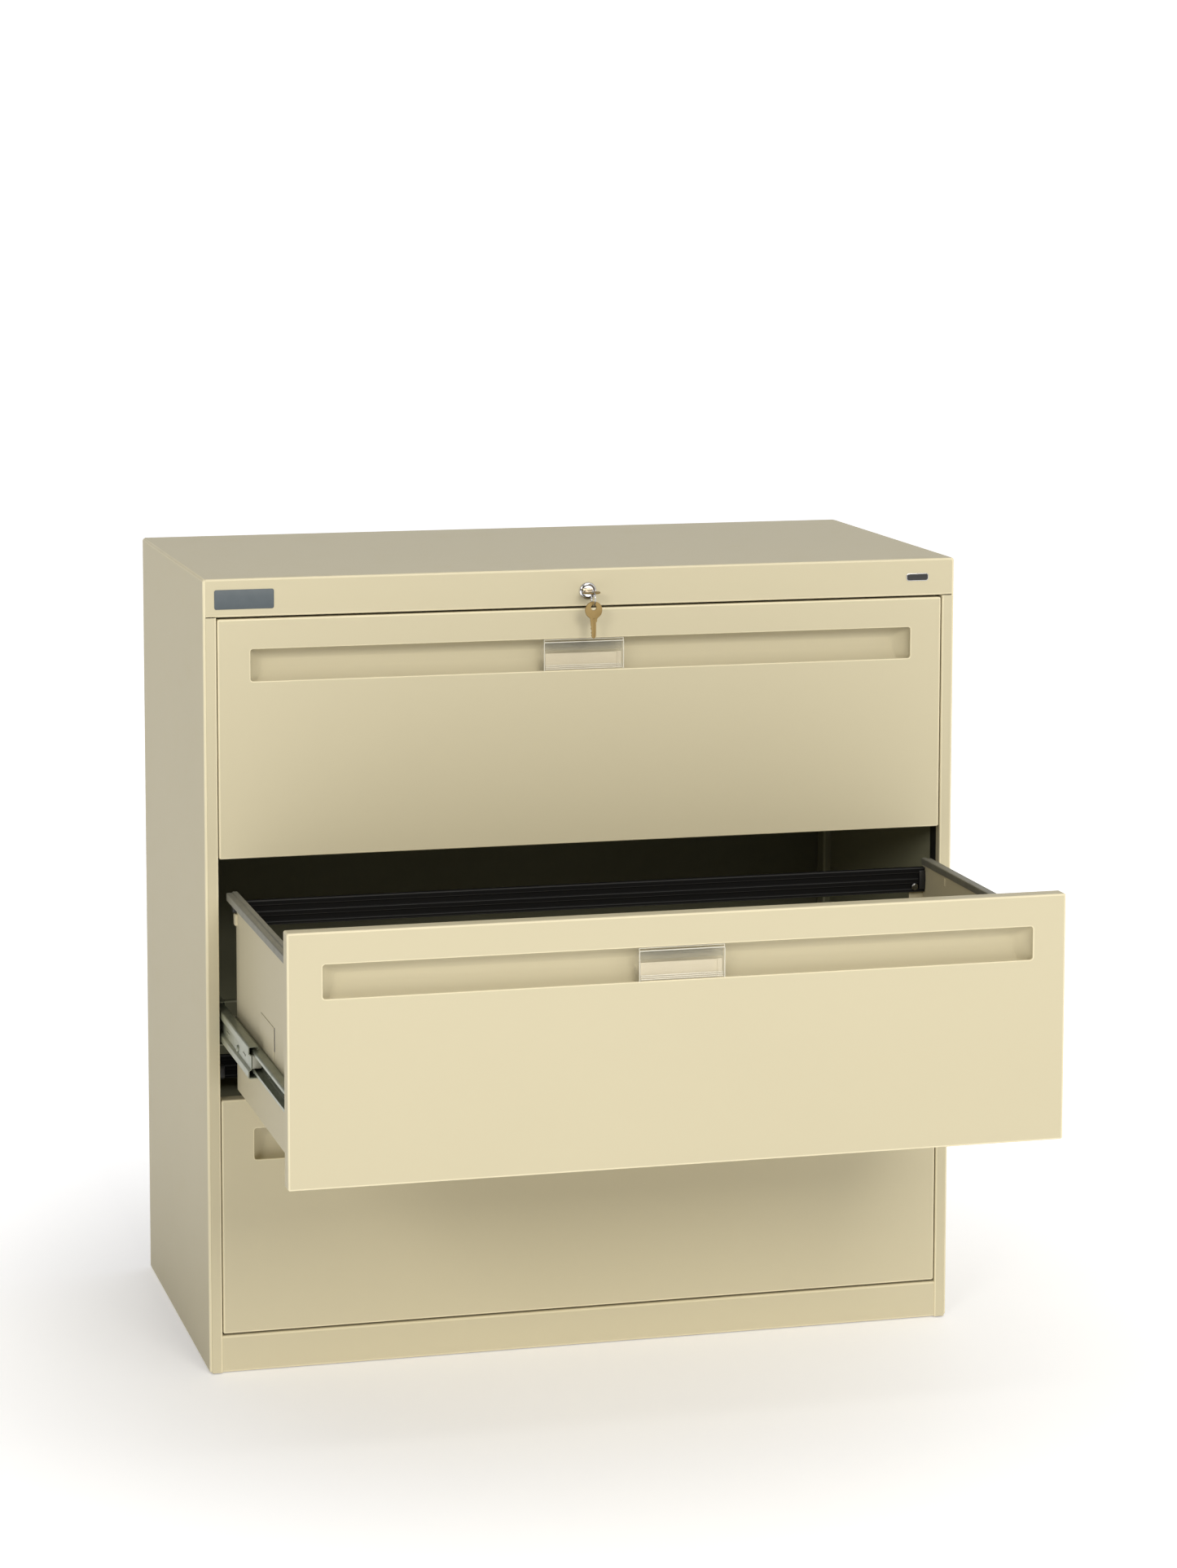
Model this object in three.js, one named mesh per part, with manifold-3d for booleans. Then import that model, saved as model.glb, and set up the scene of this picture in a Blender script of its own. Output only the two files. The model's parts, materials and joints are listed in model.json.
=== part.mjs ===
// A three-drawer lateral filing cabinet of folded sheet steel, in millimetres, +Z up, front towards -Y.
// The middle drawer stands open at rest. The origin is on the floor, under the middle of the whole outline.
import * as THREE from "three";
import { mergeVertices } from "three/addons/utils/BufferGeometryUtils.js";
import Module from "manifold-3d";

const wasm = await Module();
wasm.setup();

// ---- driving dimensions -------------------------------------------------------------------------
const CASE_WIDTH = 914.4;
const CASE_DEPTH = 457.2;
const CASE_HEIGHT = 940.2;
const DRAWER_NAMES = ["lower", "middle", "upper"];
const OPEN_DRAWER = "middle";
const HEADER_HEIGHT = 44.7;
const BASE_HEIGHT = 45.5;
const FLOOR_GAP = 1.5; // from the floor to the lowest sheet edge
const FIT = 0.3; // between sheets that touch
const CASE_SHEET = 1.2;
const DRAWER_SHEET = 1.0;
const BEND = 0.8; // inner radius of a fold
const BEND_STEPS = 3;

const POST_WIDTH = 14.2;
const POST_RETURN = 12;
const EDGE_ROUND = 3; // outer radius of the side panels' long edges
const HEADER_RETURN = 15;
const BASE_RETURN = 14;
const REAR_UPTURN = 14;
const LINER_SETBACK = 13.5;
const LINER_REAR_SETBACK = 7.2;

const FRONT_SIDE_GAP = 2.3;
const FRONT_GAP = 2.5; // between one front and the next
const FRONT_RETURN = 19;
const FRONT_ROUND = 2;
const WINDOW_SIDE_MARGIN = 38.7;
const WINDOW_DROP = 35.5; // from the front's top edge to the finger window
const WINDOW_HEIGHT = 37.5;
const CHANNEL_DEPTH = 23;
const CHANNEL_SPLAY = 12;
const CHANNEL_POCKET = 11; // how far the channel reaches below the window
const CHANNEL_FLANGE = 9;
const LABEL_WIDTH = 98;
const LABEL_OFFSET = -4;
const LABEL_SHEET = 1.4;
const LABEL_LEDGE = 8;

const DRAWER_REAR_CLEARANCE = 37.2;
const SIDE_LIFT = 10.5; // lowest edge of a drawer side above its front's lowest edge
const RAIL_DROP = 35.5; // top of the side rail below the front's top edge
const RAIL_WIDTH = 10;
const RAIL_DEPTH = 9;
const FLOOR_UPTURN = 26;
const SIDE_FLANGE = 12;
const CROSS_RAIL_HEIGHT = 30;
const CROSS_RAIL_WIDTH = 10;
const CROSS_RAIL_DROP = 10; // below the top of the side rails
const CROSS_RAIL_LIP = 7;

const SLIDE_HEIGHT = 84; // slide centre line above the front's lowest edge
const SLIDE_SHEET = 1.2;
const CASE_MEMBER = { height: 52, width: 12, inset: 0, front: 21, rear: 45 };
const MIDDLE_MEMBER = { height: 37, width: 12, inset: 3, front: 32, rear: 45 };
const DRAWER_MEMBER = { height: 26, width: 12, inset: 9, front: 25, rear: 42 };

const LOCK_DROP = 26.7; // lock centre below the top
const BEZEL_RADIUS = 10.75;
const BEZEL_PROUD = 3.5;
const BARREL_RADIUS = 8.75;
const BARREL_LENGTH = 20;
const PLUG_RADIUS = 6.6;
const CAM_RADIUS = 8; // from the plug's axis to the cam's peg
const CAM_ANGLE = -45; // the peg's angle from straight up, in degrees, with the drawers unlocked
const CAM_SHEET = 2.2;
const PEG_RADIUS = 2;
const LOCK_BAR = { sheet: 2.5, below: 8, above: 14, left: 14, reach: 27 };
const GUIDE = { width: 12, wall: 2, nearShare: 0.25, farShare: 0.9 };
const KEY_SHEET = 1.8;
const KEY_BLADE = 7.8;
const KEY_BLADE_LENGTH = 25;
const KEY_BOW_RADIUS = 10.4;
const KEY_HOLE_RADIUS = 3.2;
const KEY_HOLE_RIM = 4.2; // material between the hole and the bow's edge
const KEY_STANDOFF = 8;
const RING_RADIUS = 8.2;
const RING_WIRE = 0.6;

const GLIDE_INSET = 45;
const GLIDE_RADIUS = 15;
const GLIDE_STEM = 4.8;

// ---- sizes that follow ----------------------------------------------------------------------------
const HALF_WIDTH = CASE_WIDTH / 2;
const OPENING_HALF = HALF_WIDTH - POST_WIDTH;
const FRONT_HEIGHT =
  (CASE_HEIGHT - HEADER_HEIGHT - BASE_HEIGHT - (DRAWER_NAMES.length + 1) * FRONT_GAP) / DRAWER_NAMES.length;
const FRONT_HALF = OPENING_HALF - FRONT_SIDE_GAP;
const HEADER_BOTTOM = CASE_HEIGHT - HEADER_HEIGHT;
const DRAWER_LENGTH = CASE_DEPTH - DRAWER_REAR_CLEARANCE;
const TRAVEL = DRAWER_LENGTH;
const WINDOW_TOP = FRONT_HEIGHT - WINDOW_DROP;
const WINDOW_BOTTOM = WINDOW_TOP - WINDOW_HEIGHT;
const WINDOW_HALF = FRONT_HALF - WINDOW_SIDE_MARGIN;
const SIDE_OUTER = OPENING_HALF - DRAWER_MEMBER.inset - DRAWER_MEMBER.width - FIT;
const SIDE_INNER = SIDE_OUTER - DRAWER_SHEET;
const RAIL_TOP = FRONT_HEIGHT - RAIL_DROP;
const LOCK_HEIGHT = CASE_HEIGHT - LOCK_DROP;

// ---- finishes -------------------------------------------------------------------------------------
const finish = (color, roughness, metalness) => new THREE.MeshStandardMaterial({ color, roughness, metalness });
const PUTTY_PAINT = finish(0xd9cfae, 0.45, 0.1);
const DARK_PAINT = finish(0x3c3b30, 0.6, 0.1);
const BLACK_PAINT = finish(0x16161a, 0.5, 0.2);
const ZINC = finish(0xb4b39a, 0.35, 0.9);
const CHROME = finish(0xd8d8da, 0.15, 1.0);
const BRASS = finish(0xb08d45, 0.3, 1.0);
const STEEL_WIRE = finish(0x9a9a98, 0.3, 1.0);
const CLEAR_PLASTIC = finish(0xe4e2d4, 0.2, 0.0);
const BLACK_PLASTIC = finish(0x1c1c1c, 0.5, 0.0);

// ---- geometry helpers -----------------------------------------------------------------------------
function solidOf(geometry) {
  const bare = geometry.clone();
  bare.deleteAttribute("normal");
  bare.deleteAttribute("uv");
  const merged = mergeVertices(bare, 1e-4);
  const vertProperties = new Float32Array(merged.attributes.position.array);
  const triVerts = new Uint32Array(merged.index.array);
  return new wasm.Manifold(new wasm.Mesh({ numProp: 3, vertProperties, triVerts }));
}

function geometryOf(solid) {
  const { vertProperties, triVerts } = solid.getMesh();
  const geometry = new THREE.BufferGeometry();
  geometry.setAttribute("position", new THREE.BufferAttribute(vertProperties, 3));
  geometry.setIndex(new THREE.BufferAttribute(triVerts, 1));
  geometry.computeVertexNormals();
  return geometry;
}

const joined = (first, ...others) =>
  geometryOf(others.reduce((whole, geometry) => whole.add(solidOf(geometry)), solidOf(first)));
const cut = (first, ...others) =>
  geometryOf(others.reduce((whole, geometry) => whole.subtract(solidOf(geometry)), solidOf(first)));
const common = (first, second) => geometryOf(solidOf(first).intersect(solidOf(second)));

// a box between two values on each axis, given in either order
function box(x0, x1, y0, y1, z0, z1) {
  const geometry = new THREE.BoxGeometry(Math.abs(x1 - x0), Math.abs(y1 - y0), Math.abs(z1 - z0));
  return geometry.translate((x0 + x1) / 2, (y0 + y1) / 2, (z0 + z1) / 2);
}

// an outline carried along X (outline in Y, Z), along Y (outline in X, Z) or along Z (outline in X, Y)
function prism(axis, outline, from, to) {
  const shape = new THREE.Shape(outline);
  const geometry = new THREE.ExtrudeGeometry(shape, { depth: to - from, bevelEnabled: false });
  if (axis === "x") {
    const turn = new THREE.Matrix4();
    turn.makeBasis(new THREE.Vector3(0, 1, 0), new THREE.Vector3(0, 0, 1), new THREE.Vector3(1, 0, 0));
    return geometry.applyMatrix4(turn).translate(from, 0, 0);
  }
  if (axis === "y") {
    return geometry.rotateX(Math.PI / 2).translate(0, to, 0);
  }
  return geometry.translate(0, 0, from);
}

// the point list of a polyline with its inner corners rounded, each by the radius that its turn gives
function filleted(points, radiusAt) {
  const result = [points[0]];
  for (let i = 1; i < points.length - 1; i += 1) {
    const before = points[i - 1].clone().sub(points[i]).normalize();
    const after = points[i + 1].clone().sub(points[i]).normalize();
    const turn = -before.x * after.y + before.y * after.x;
    const half = Math.acos(before.dot(after)) / 2;
    const radius = radiusAt(turn);
    const reach = radius / Math.tan(half);
    const centre = before.clone().add(after).normalize().multiplyScalar(radius / Math.sin(half)).add(points[i]);
    const start = before.multiplyScalar(reach).add(points[i]);
    const sweep = Math.sign(turn) * (Math.PI - 2 * half);
    for (let k = 0; k <= BEND_STEPS; k += 1) {
      result.push(start.clone().rotateAround(centre, (sweep * k) / BEND_STEPS));
    }
  }
  result.push(points[points.length - 1]);
  return result;
}

// the section of a folded sheet: one face follows the path, the other lies `sheet` to its left
// (to its right when sheet is negative)
function sheetOutline(path, sheet) {
  const points = path.map(([u, v]) => new THREE.Vector2(u, v));
  const normals = points.slice(1).map((point, i) => {
    const along = point.clone().sub(points[i]).normalize();
    return new THREE.Vector2(-along.y, along.x);
  });
  const offset = points.map((point, i) => {
    const first = normals[Math.max(i - 1, 0)];
    const second = normals[Math.min(i, normals.length - 1)];
    const mitre = first.clone().add(second);
    return mitre.multiplyScalar((2 * sheet) / mitre.lengthSq()).add(point);
  });
  const radius = (isInner) => (isInner ? BEND : BEND + Math.abs(sheet));
  const near = filleted(points, (turn) => radius(turn * sheet < 0));
  const far = filleted(offset, (turn) => radius(turn * sheet > 0));
  return [...near, ...far.reverse()];
}

// a rectangle with rounded corners, as a point list
function roundedRectangle(u0, u1, v0, v1, radius) {
  const corners = [
    [u1 - radius, v0 + radius, -90],
    [u1 - radius, v1 - radius, 0],
    [u0 + radius, v1 - radius, 90],
    [u0 + radius, v0 + radius, 180],
  ];
  return corners.flatMap(([u, v, start]) =>
    Array.from({ length: BEND_STEPS + 1 }, (_, k) => {
      const angle = THREE.MathUtils.degToRad(start + (90 * k) / BEND_STEPS);
      return new THREE.Vector2(u + radius * Math.cos(angle), v + radius * Math.sin(angle));
    }),
  );
}

const pointsOf = (pairs) => pairs.map(([u, v]) => new THREE.Vector2(u, v));

function disc(radius, y0, y1, sides = 24) {
  return new THREE.CylinderGeometry(radius, radius, y1 - y0, sides).translate(0, (y0 + y1) / 2, 0);
}

function place(group, name, geometry, material) {
  const mesh = new THREE.Mesh(geometry, material);
  mesh.name = name;
  group.add(mesh);
  return mesh;
}

const cabinet = new THREE.Group();
cabinet.position.y = (TRAVEL - CASE_DEPTH) / 2;

// ---- case -----------------------------------------------------------------------------------------
// A side panel wraps round to the front as a narrow post, and stops short of the header above it.
function sidePanel(side) {
  const x = (distance) => side * distance;
  const rear = CASE_DEPTH - CASE_SHEET - FIT;
  const plan = (inset) => {
    const outer = HALF_WIDTH - inset;
    const inner = OPENING_HALF + inset;
    const round = EDGE_ROUND - inset;
    const arc = Array.from({ length: BEND_STEPS + 1 }, (_, k) => {
      const angle = (k / BEND_STEPS) * (Math.PI / 2);
      return [outer - round + round * Math.sin(angle), inset + round - round * Math.cos(angle)];
    });
    return pointsOf([[inner, inset], ...arc, [outer, rear - inset], [inner, rear - inset]].map(([u, v]) => [x(u), v]));
  };
  const front = (inset) => {
    const outer = HALF_WIDTH - inset;
    const top = CASE_HEIGHT - inset;
    const round = EDGE_ROUND - inset;
    const arc = Array.from({ length: BEND_STEPS + 1 }, (_, k) => {
      const angle = (k / BEND_STEPS) * (Math.PI / 2);
      return [outer - round + round * Math.cos(angle), top - round + round * Math.sin(angle)];
    });
    const below = inset ? 0 : FLOOR_GAP;
    return pointsOf([[OPENING_HALF, below], [outer, below], ...arc, [OPENING_HALF, top]].map(([u, v]) => [x(u), v]));
  };
  const block = (inset) =>
    common(prism("z", plan(inset), 0, CASE_HEIGHT), prism("y", front(inset), 0, CASE_DEPTH));
  const shell = cut(block(0), block(CASE_SHEET));
  const flange = HALF_WIDTH - EDGE_ROUND;
  return cut(
    shell,
    box(x(OPENING_HALF - 1), x(OPENING_HALF + CASE_SHEET + FIT), POST_RETURN, rear - CASE_SHEET, -1, CASE_HEIGHT + 1),
    box(x(OPENING_HALF - 1), x(flange), -1, rear - CASE_SHEET, HEADER_BOTTOM - FIT, CASE_HEIGHT + 1),
    box(x(OPENING_HALF - 1), x(flange), -1, rear + 1, CASE_HEIGHT - CASE_SHEET - FIT, CASE_HEIGHT + 1),
  );
}

// The inner wall that carries the slides, folded out to the side panel at the front and the rear.
function slideLiner(side) {
  const inner = OPENING_HALF + FIT;
  const outer = HALF_WIDTH - CASE_SHEET - FIT;
  const rear = CASE_DEPTH - LINER_REAR_SETBACK;
  const path = [[outer, LINER_SETBACK], [inner, LINER_SETBACK], [inner, rear], [outer, rear]];
  const outline = sheetOutline(path.map(([u, v]) => [side * u, v]), side * CASE_SHEET * -1);
  return prism("z", outline, BASE_HEIGHT + FIT, HEADER_BOTTOM - FRONT_GAP);
}

// The top sheet folds down at the front as the header, and back under it as a stiffening return.
function topPanel() {
  const half = HALF_WIDTH - EDGE_ROUND - FIT;
  const path = [
    [HEADER_RETURN, HEADER_BOTTOM + HEADER_RETURN / 2],
    [HEADER_RETURN, HEADER_BOTTOM],
    [0, HEADER_BOTTOM],
    [0, CASE_HEIGHT],
    [CASE_DEPTH, CASE_HEIGHT],
  ];
  const sheet = prism("x", sheetOutline(path, -CASE_SHEET), -half, half);
  const lockHole = disc(BARREL_RADIUS + FIT, -2, CASE_SHEET + 2).translate(0, 0, LOCK_HEIGHT);
  return cut(sheet, lockHole);
}

// The case floor folds down at the front as the base strip between the posts.
function basePanel() {
  const half = OPENING_HALF - 2 * FIT;
  const rear = CASE_DEPTH - 2 * CASE_SHEET - FIT;
  const path = [
    [BASE_RETURN, FLOOR_GAP],
    [0, FLOOR_GAP],
    [0, BASE_HEIGHT],
    [rear, BASE_HEIGHT],
    [rear, BASE_HEIGHT + REAR_UPTURN],
  ];
  return prism("x", sheetOutline(path, -CASE_SHEET), -half, half);
}

function backPanel() {
  const half = HALF_WIDTH - 2 * FIT;
  return box(-half, half, CASE_DEPTH - CASE_SHEET, CASE_DEPTH, FLOOR_GAP, CASE_HEIGHT - CASE_SHEET - FIT);
}

function glide() {
  const top = BASE_HEIGHT - CASE_SHEET - FIT;
  const profile = [
    [0, 0],
    [GLIDE_RADIUS - 2, 0],
    [GLIDE_RADIUS, 2],
    [GLIDE_RADIUS, 6],
    [GLIDE_STEM, 9],
    [GLIDE_STEM, top],
    [0, top],
  ];
  return new THREE.LatheGeometry(pointsOf(profile), 20).rotateX(Math.PI / 2);
}

for (const [name, side] of [["left", -1], ["right", 1]]) {
  place(cabinet, `side_panel_${name}`, sidePanel(side), PUTTY_PAINT);
  place(cabinet, `slide_liner_${name}`, slideLiner(side), DARK_PAINT);
  for (const [end, y] of [["front", GLIDE_INSET], ["rear", CASE_DEPTH - GLIDE_INSET]]) {
    const foot = place(cabinet, `glide_${end}_${name}`, glide(), BLACK_PLASTIC);
    foot.position.set(side * (HALF_WIDTH - GLIDE_INSET), y, 0);
  }
}
place(cabinet, "top_panel", topPanel(), PUTTY_PAINT);
place(cabinet, "base_panel", basePanel(), PUTTY_PAINT);
place(cabinet, "back_panel", backPanel(), PUTTY_PAINT);

// ---- drawer slides ----------------------------------------------------------------------------------
// Each member is a channel. The case and middle members open inwards, and the drawer's member outwards,
// so each nests in the next with room for its balls.
function slideMember(side, member, opensOutwards) {
  const outer = OPENING_HALF - member.inset;
  const inner = outer - member.width;
  const web = opensOutwards ? inner : outer;
  const lips = opensOutwards ? outer : inner;
  const top = SLIDE_HEIGHT + member.height / 2;
  const bottom = SLIDE_HEIGHT - member.height / 2;
  const path = [[lips, bottom], [web, bottom], [web, top], [lips, top]];
  const towardsLips = opensOutwards ? -1 : 1;
  const outline = sheetOutline(path.map(([u, v]) => [side * u, v]), side * towardsLips * SLIDE_SHEET);
  return prism("y", outline, member.front, CASE_DEPTH - member.rear);
}

// ---- drawers ----------------------------------------------------------------------------------------
// A shallow pan: the front sheet with four returns, and the long finger window near its top.
function drawerFront() {
  const outline = new THREE.Shape(
    roundedRectangle(
      -FRONT_HALF + FRONT_ROUND,
      FRONT_HALF - FRONT_ROUND,
      FRONT_ROUND,
      FRONT_HEIGHT - FRONT_ROUND,
      FRONT_ROUND / 2,
    ),
  );
  const block = new THREE.ExtrudeGeometry(outline, {
    depth: FRONT_RETURN + FRONT_ROUND,
    bevelEnabled: true,
    bevelThickness: FRONT_ROUND,
    bevelSize: FRONT_ROUND,
    bevelSegments: BEND_STEPS,
  });
  block.rotateX(Math.PI / 2).translate(0, FRONT_RETURN + 2 * FRONT_ROUND, 0);
  const half = FRONT_HALF - DRAWER_SHEET;
  const window = roundedRectangle(-WINDOW_HALF, WINDOW_HALF, WINDOW_BOTTOM, WINDOW_TOP, FRONT_ROUND);
  return cut(
    block,
    box(-half, half, DRAWER_SHEET, FRONT_RETURN * 2, DRAWER_SHEET, FRONT_HEIGHT - DRAWER_SHEET),
    box(-CASE_WIDTH, CASE_WIDTH, FRONT_RETURN, FRONT_RETURN * 2, -1, FRONT_HEIGHT + 1),
    prism("y", window, -1, FRONT_RETURN),
  );
}

// The trough behind the finger window. Its ends splay, and it dips behind the window's lower edge.
function pullChannel() {
  const face = DRAWER_SHEET + FIT;
  const profile = (inset, mouth) => {
    const top = WINDOW_TOP + DRAWER_SHEET - inset;
    const bottom = WINDOW_BOTTOM - CHANNEL_POCKET + inset;
    const rear = face + CHANNEL_DEPTH - inset;
    return pointsOf([
      [mouth, top],
      [rear - CHANNEL_DEPTH * 0.6, top],
      [rear - CHANNEL_DEPTH * 0.2, top - WINDOW_HEIGHT * 0.12],
      [rear, top - WINDOW_HEIGHT * 0.4],
      [rear, bottom + CHANNEL_POCKET * 0.7],
      [rear - CHANNEL_DEPTH * 0.2, bottom],
      [mouth, bottom],
    ]);
  };
  const plan = (inset, mouth) => {
    const half = WINDOW_HALF + DRAWER_SHEET - inset;
    const rear = face + CHANNEL_DEPTH + 1;
    const right = [[half, mouth], [half, face + 1], [half - CHANNEL_SPLAY, rear]];
    return pointsOf([...right, ...right.map(([u, v]) => [-u, v]).reverse()]);
  };
  const block = (inset, mouth) =>
    common(
      prism("x", profile(inset, mouth), -CASE_WIDTH / 2, CASE_WIDTH / 2),
      prism("z", plan(inset, mouth), 0, FRONT_HEIGHT),
    );
  const flangeHalf = WINDOW_HALF + DRAWER_SHEET + CHANNEL_FLANGE;
  const flange = box(
    -flangeHalf,
    flangeHalf,
    face,
    face + DRAWER_SHEET,
    WINDOW_BOTTOM - CHANNEL_POCKET - CHANNEL_FLANGE,
    WINDOW_TOP + DRAWER_SHEET + CHANNEL_FLANGE,
  );
  return cut(joined(block(0, face), flange), block(DRAWER_SHEET, 0));
}

// A clear strip that clips into the window: a sloped face, a ledge on top and a foot behind the lower edge.
function labelHolder() {
  const face = DRAWER_SHEET + FIT;
  const top = WINDOW_TOP - 2 * FIT;
  const path = [
    [face + 1.6, WINDOW_BOTTOM - CHANNEL_POCKET * 0.6],
    [face + FIT, WINDOW_BOTTOM + 2],
    [FIT, top],
    [LABEL_LEDGE, top],
  ];
  const centre = LABEL_OFFSET;
  return prism("x", sheetOutline(path, -LABEL_SHEET), centre - LABEL_WIDTH / 2, centre + LABEL_WIDTH / 2);
}

// A side sheet: a flange under the floor at the bottom, and a rail rolled outwards along the top.
function drawerSide(side) {
  const rail = SIDE_OUTER + RAIL_WIDTH;
  const path = [
    [SIDE_OUTER - SIDE_FLANGE, SIDE_LIFT],
    [SIDE_OUTER, SIDE_LIFT],
    [SIDE_OUTER, RAIL_TOP - DRAWER_SHEET],
    [rail, RAIL_TOP - DRAWER_SHEET],
    [rail, RAIL_TOP - RAIL_DEPTH],
  ];
  const outline = sheetOutline(path.map(([u, v]) => [side * u, v]), side * DRAWER_SHEET);
  return prism("y", outline, DRAWER_SHEET + FIT, DRAWER_LENGTH);
}

function drawerFloor() {
  const half = SIDE_INNER - FIT;
  const height = SIDE_LIFT + DRAWER_SHEET + FIT;
  const front = FRONT_RETURN + 1;
  const rear = DRAWER_LENGTH - CROSS_RAIL_WIDTH / 5;
  const path = [
    [front, height + FLOOR_UPTURN],
    [front, height],
    [rear, height],
    [rear, height + FLOOR_UPTURN],
  ];
  return prism("x", sheetOutline(path, DRAWER_SHEET), -half, half);
}

// A cross rail for hanging folders: an upright strip with a hooked top edge.
function crossRail(face, hook) {
  const half = SIDE_INNER - FIT;
  const top = RAIL_TOP - CROSS_RAIL_DROP;
  const towards = Math.sign(hook - face);
  const path = [
    [face, top - CROSS_RAIL_HEIGHT],
    [face, top],
    [hook, top],
    [hook, top - CROSS_RAIL_LIP],
  ];
  return prism("x", sheetOutline(path, -towards * CASE_SHEET), -half, half);
}

const frontRailFace = DRAWER_SHEET + 2 * FIT + CHANNEL_DEPTH + 2;
const spacing = FRONT_HEIGHT + FRONT_GAP;
DRAWER_NAMES.forEach((name, level) => {
  const height = BASE_HEIGHT + FRONT_GAP + level * spacing;
  const open = name === OPEN_DRAWER ? TRAVEL : 0;
  const slides = new THREE.Group();
  const middle = new THREE.Group();
  const drawer = new THREE.Group();
  slides.position.set(0, 0, height);
  middle.position.set(0, -open / 2, height);
  drawer.position.set(0, -open, height);
  cabinet.add(slides, middle, drawer);
  place(drawer, `${name}_drawer_front`, drawerFront(), PUTTY_PAINT);
  place(drawer, `${name}_pull_channel`, pullChannel(), PUTTY_PAINT);
  place(drawer, `${name}_label_holder`, labelHolder(), CLEAR_PLASTIC);
  place(drawer, `${name}_drawer_floor`, drawerFloor(), PUTTY_PAINT);
  place(drawer, `${name}_front_rail`, crossRail(frontRailFace, frontRailFace + CROSS_RAIL_WIDTH), BLACK_PAINT);
  place(drawer, `${name}_rear_rail`, crossRail(DRAWER_LENGTH, DRAWER_LENGTH - CROSS_RAIL_WIDTH), BLACK_PAINT);
  for (const [hand, side] of [["left", -1], ["right", 1]]) {
    place(drawer, `${name}_drawer_side_${hand}`, drawerSide(side), PUTTY_PAINT);
    place(drawer, `${name}_slide_drawer_member_${hand}`, slideMember(side, DRAWER_MEMBER, true), ZINC);
    place(middle, `${name}_slide_middle_member_${hand}`, slideMember(side, MIDDLE_MEMBER, false), ZINC);
    place(slides, `${name}_slide_case_member_${hand}`, slideMember(side, CASE_MEMBER, false), ZINC);
  }
});

// ---- lock, key and key ring ---------------------------------------------------------------------------
const lock = new THREE.Group();
lock.position.z = LOCK_HEIGHT;
cabinet.add(lock);

function lockHousing() {
  const bore = PLUG_RADIUS + FIT;
  const profile = [
    [bore, -BEZEL_PROUD + 0.4],
    [BEZEL_RADIUS - 1.6, -BEZEL_PROUD],
    [BEZEL_RADIUS, -BEZEL_PROUD + 1.4],
    [BEZEL_RADIUS, -FIT],
    [BARREL_RADIUS, -FIT],
    [BARREL_RADIUS, BARREL_LENGTH],
    [bore, BARREL_LENGTH],
    [bore, -BEZEL_PROUD + 0.4],
  ];
  return new THREE.LatheGeometry(pointsOf(profile), 28);
}

const camFace = BARREL_LENGTH + 1.5;
const camTurn = THREE.MathUtils.degToRad(CAM_ANGLE);
const pegX = CAM_RADIUS * Math.sin(camTurn);
const pegZ = CAM_RADIUS * Math.cos(camTurn);

function lockPlug() {
  const front = -BEZEL_PROUD + 0.6;
  const barrel = disc(PLUG_RADIUS, front, camFace + CAM_SHEET / 2);
  const width = KEY_BLADE / 2 + 2 * FIT;
  const height = KEY_SHEET / 2 + FIT;
  const keyway = box(-width, width, front - 1, KEY_BLADE_LENGTH - KEY_STANDOFF + 1.5, -height, height);
  const arm = PEG_RADIUS * 2;
  const lever = prism("y", roundedRectangle(-arm, arm, -arm, CAM_RADIUS + arm, arm), camFace, camFace + CAM_SHEET);
  lever.rotateY(camTurn);
  const peg = disc(PEG_RADIUS, camFace + CAM_SHEET / 2, camFace + CAM_SHEET + LOCK_BAR.sheet + 2, 16);
  return joined(cut(barrel, keyway), lever, peg.translate(pegX, 0, pegZ));
}

// The bar slides sideways as the cam's peg pushes it, and holds the drawers at its far end.
function lockBar() {
  const front = camFace + CAM_SHEET + 2 * FIT;
  const room = PEG_RADIUS + 2 * FIT;
  const bar = box(
    -LOCK_BAR.left,
    OPENING_HALF - LOCK_BAR.reach + CAM_RADIUS,
    front,
    front + LOCK_BAR.sheet,
    -LOCK_BAR.below,
    LOCK_BAR.above,
  );
  const slot = box(pegX - room, pegX + room, front - 1, front + LOCK_BAR.sheet + 1, pegZ - room, CAM_RADIUS + room);
  return cut(bar, slot);
}

// A bracket that hangs from the top sheet and holds the bar in a slot.
function lockBarGuide() {
  const front = camFace + CAM_SHEET + 2 * FIT;
  const rear = front + LOCK_BAR.sheet;
  const half = GUIDE.width / 2;
  const bracket = box(
    -half,
    half,
    front - GUIDE.wall,
    rear + GUIDE.wall,
    -LOCK_BAR.below - GUIDE.wall,
    LOCK_DROP - CASE_SHEET - FIT,
  );
  return cut(bracket, box(-half - 1, half + 1, front - FIT, rear + FIT, -LOCK_BAR.below - FIT, LOCK_BAR.above + FIT));
}

// A key lying flat in X and Y: its blade points to +Y and its bow is a disc with an off-centre hole.
function key() {
  const half = KEY_SHEET / 2;
  const bowCentre = -KEY_STANDOFF - KEY_BOW_RADIUS;
  const flatDisc = (radius, y, margin) =>
    new THREE.CylinderGeometry(radius, radius, KEY_SHEET + 2 * margin, 24).rotateX(Math.PI / 2).translate(0, y, 0);
  const tip = KEY_BLADE_LENGTH - KEY_STANDOFF;
  const blade = prism(
    "z",
    pointsOf([
      [-KEY_BLADE / 2, bowCentre],
      [KEY_BLADE / 2, bowCentre],
      [KEY_BLADE / 2, tip - KEY_BLADE / 3],
      [KEY_BLADE / 6, tip],
      [-KEY_BLADE / 2, tip],
    ]),
    -half,
    half,
  );
  const hole = flatDisc(KEY_HOLE_RADIUS, keyHole, 1);
  return cut(joined(flatDisc(KEY_BOW_RADIUS, bowCentre, 0), blade), hole);
}

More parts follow.
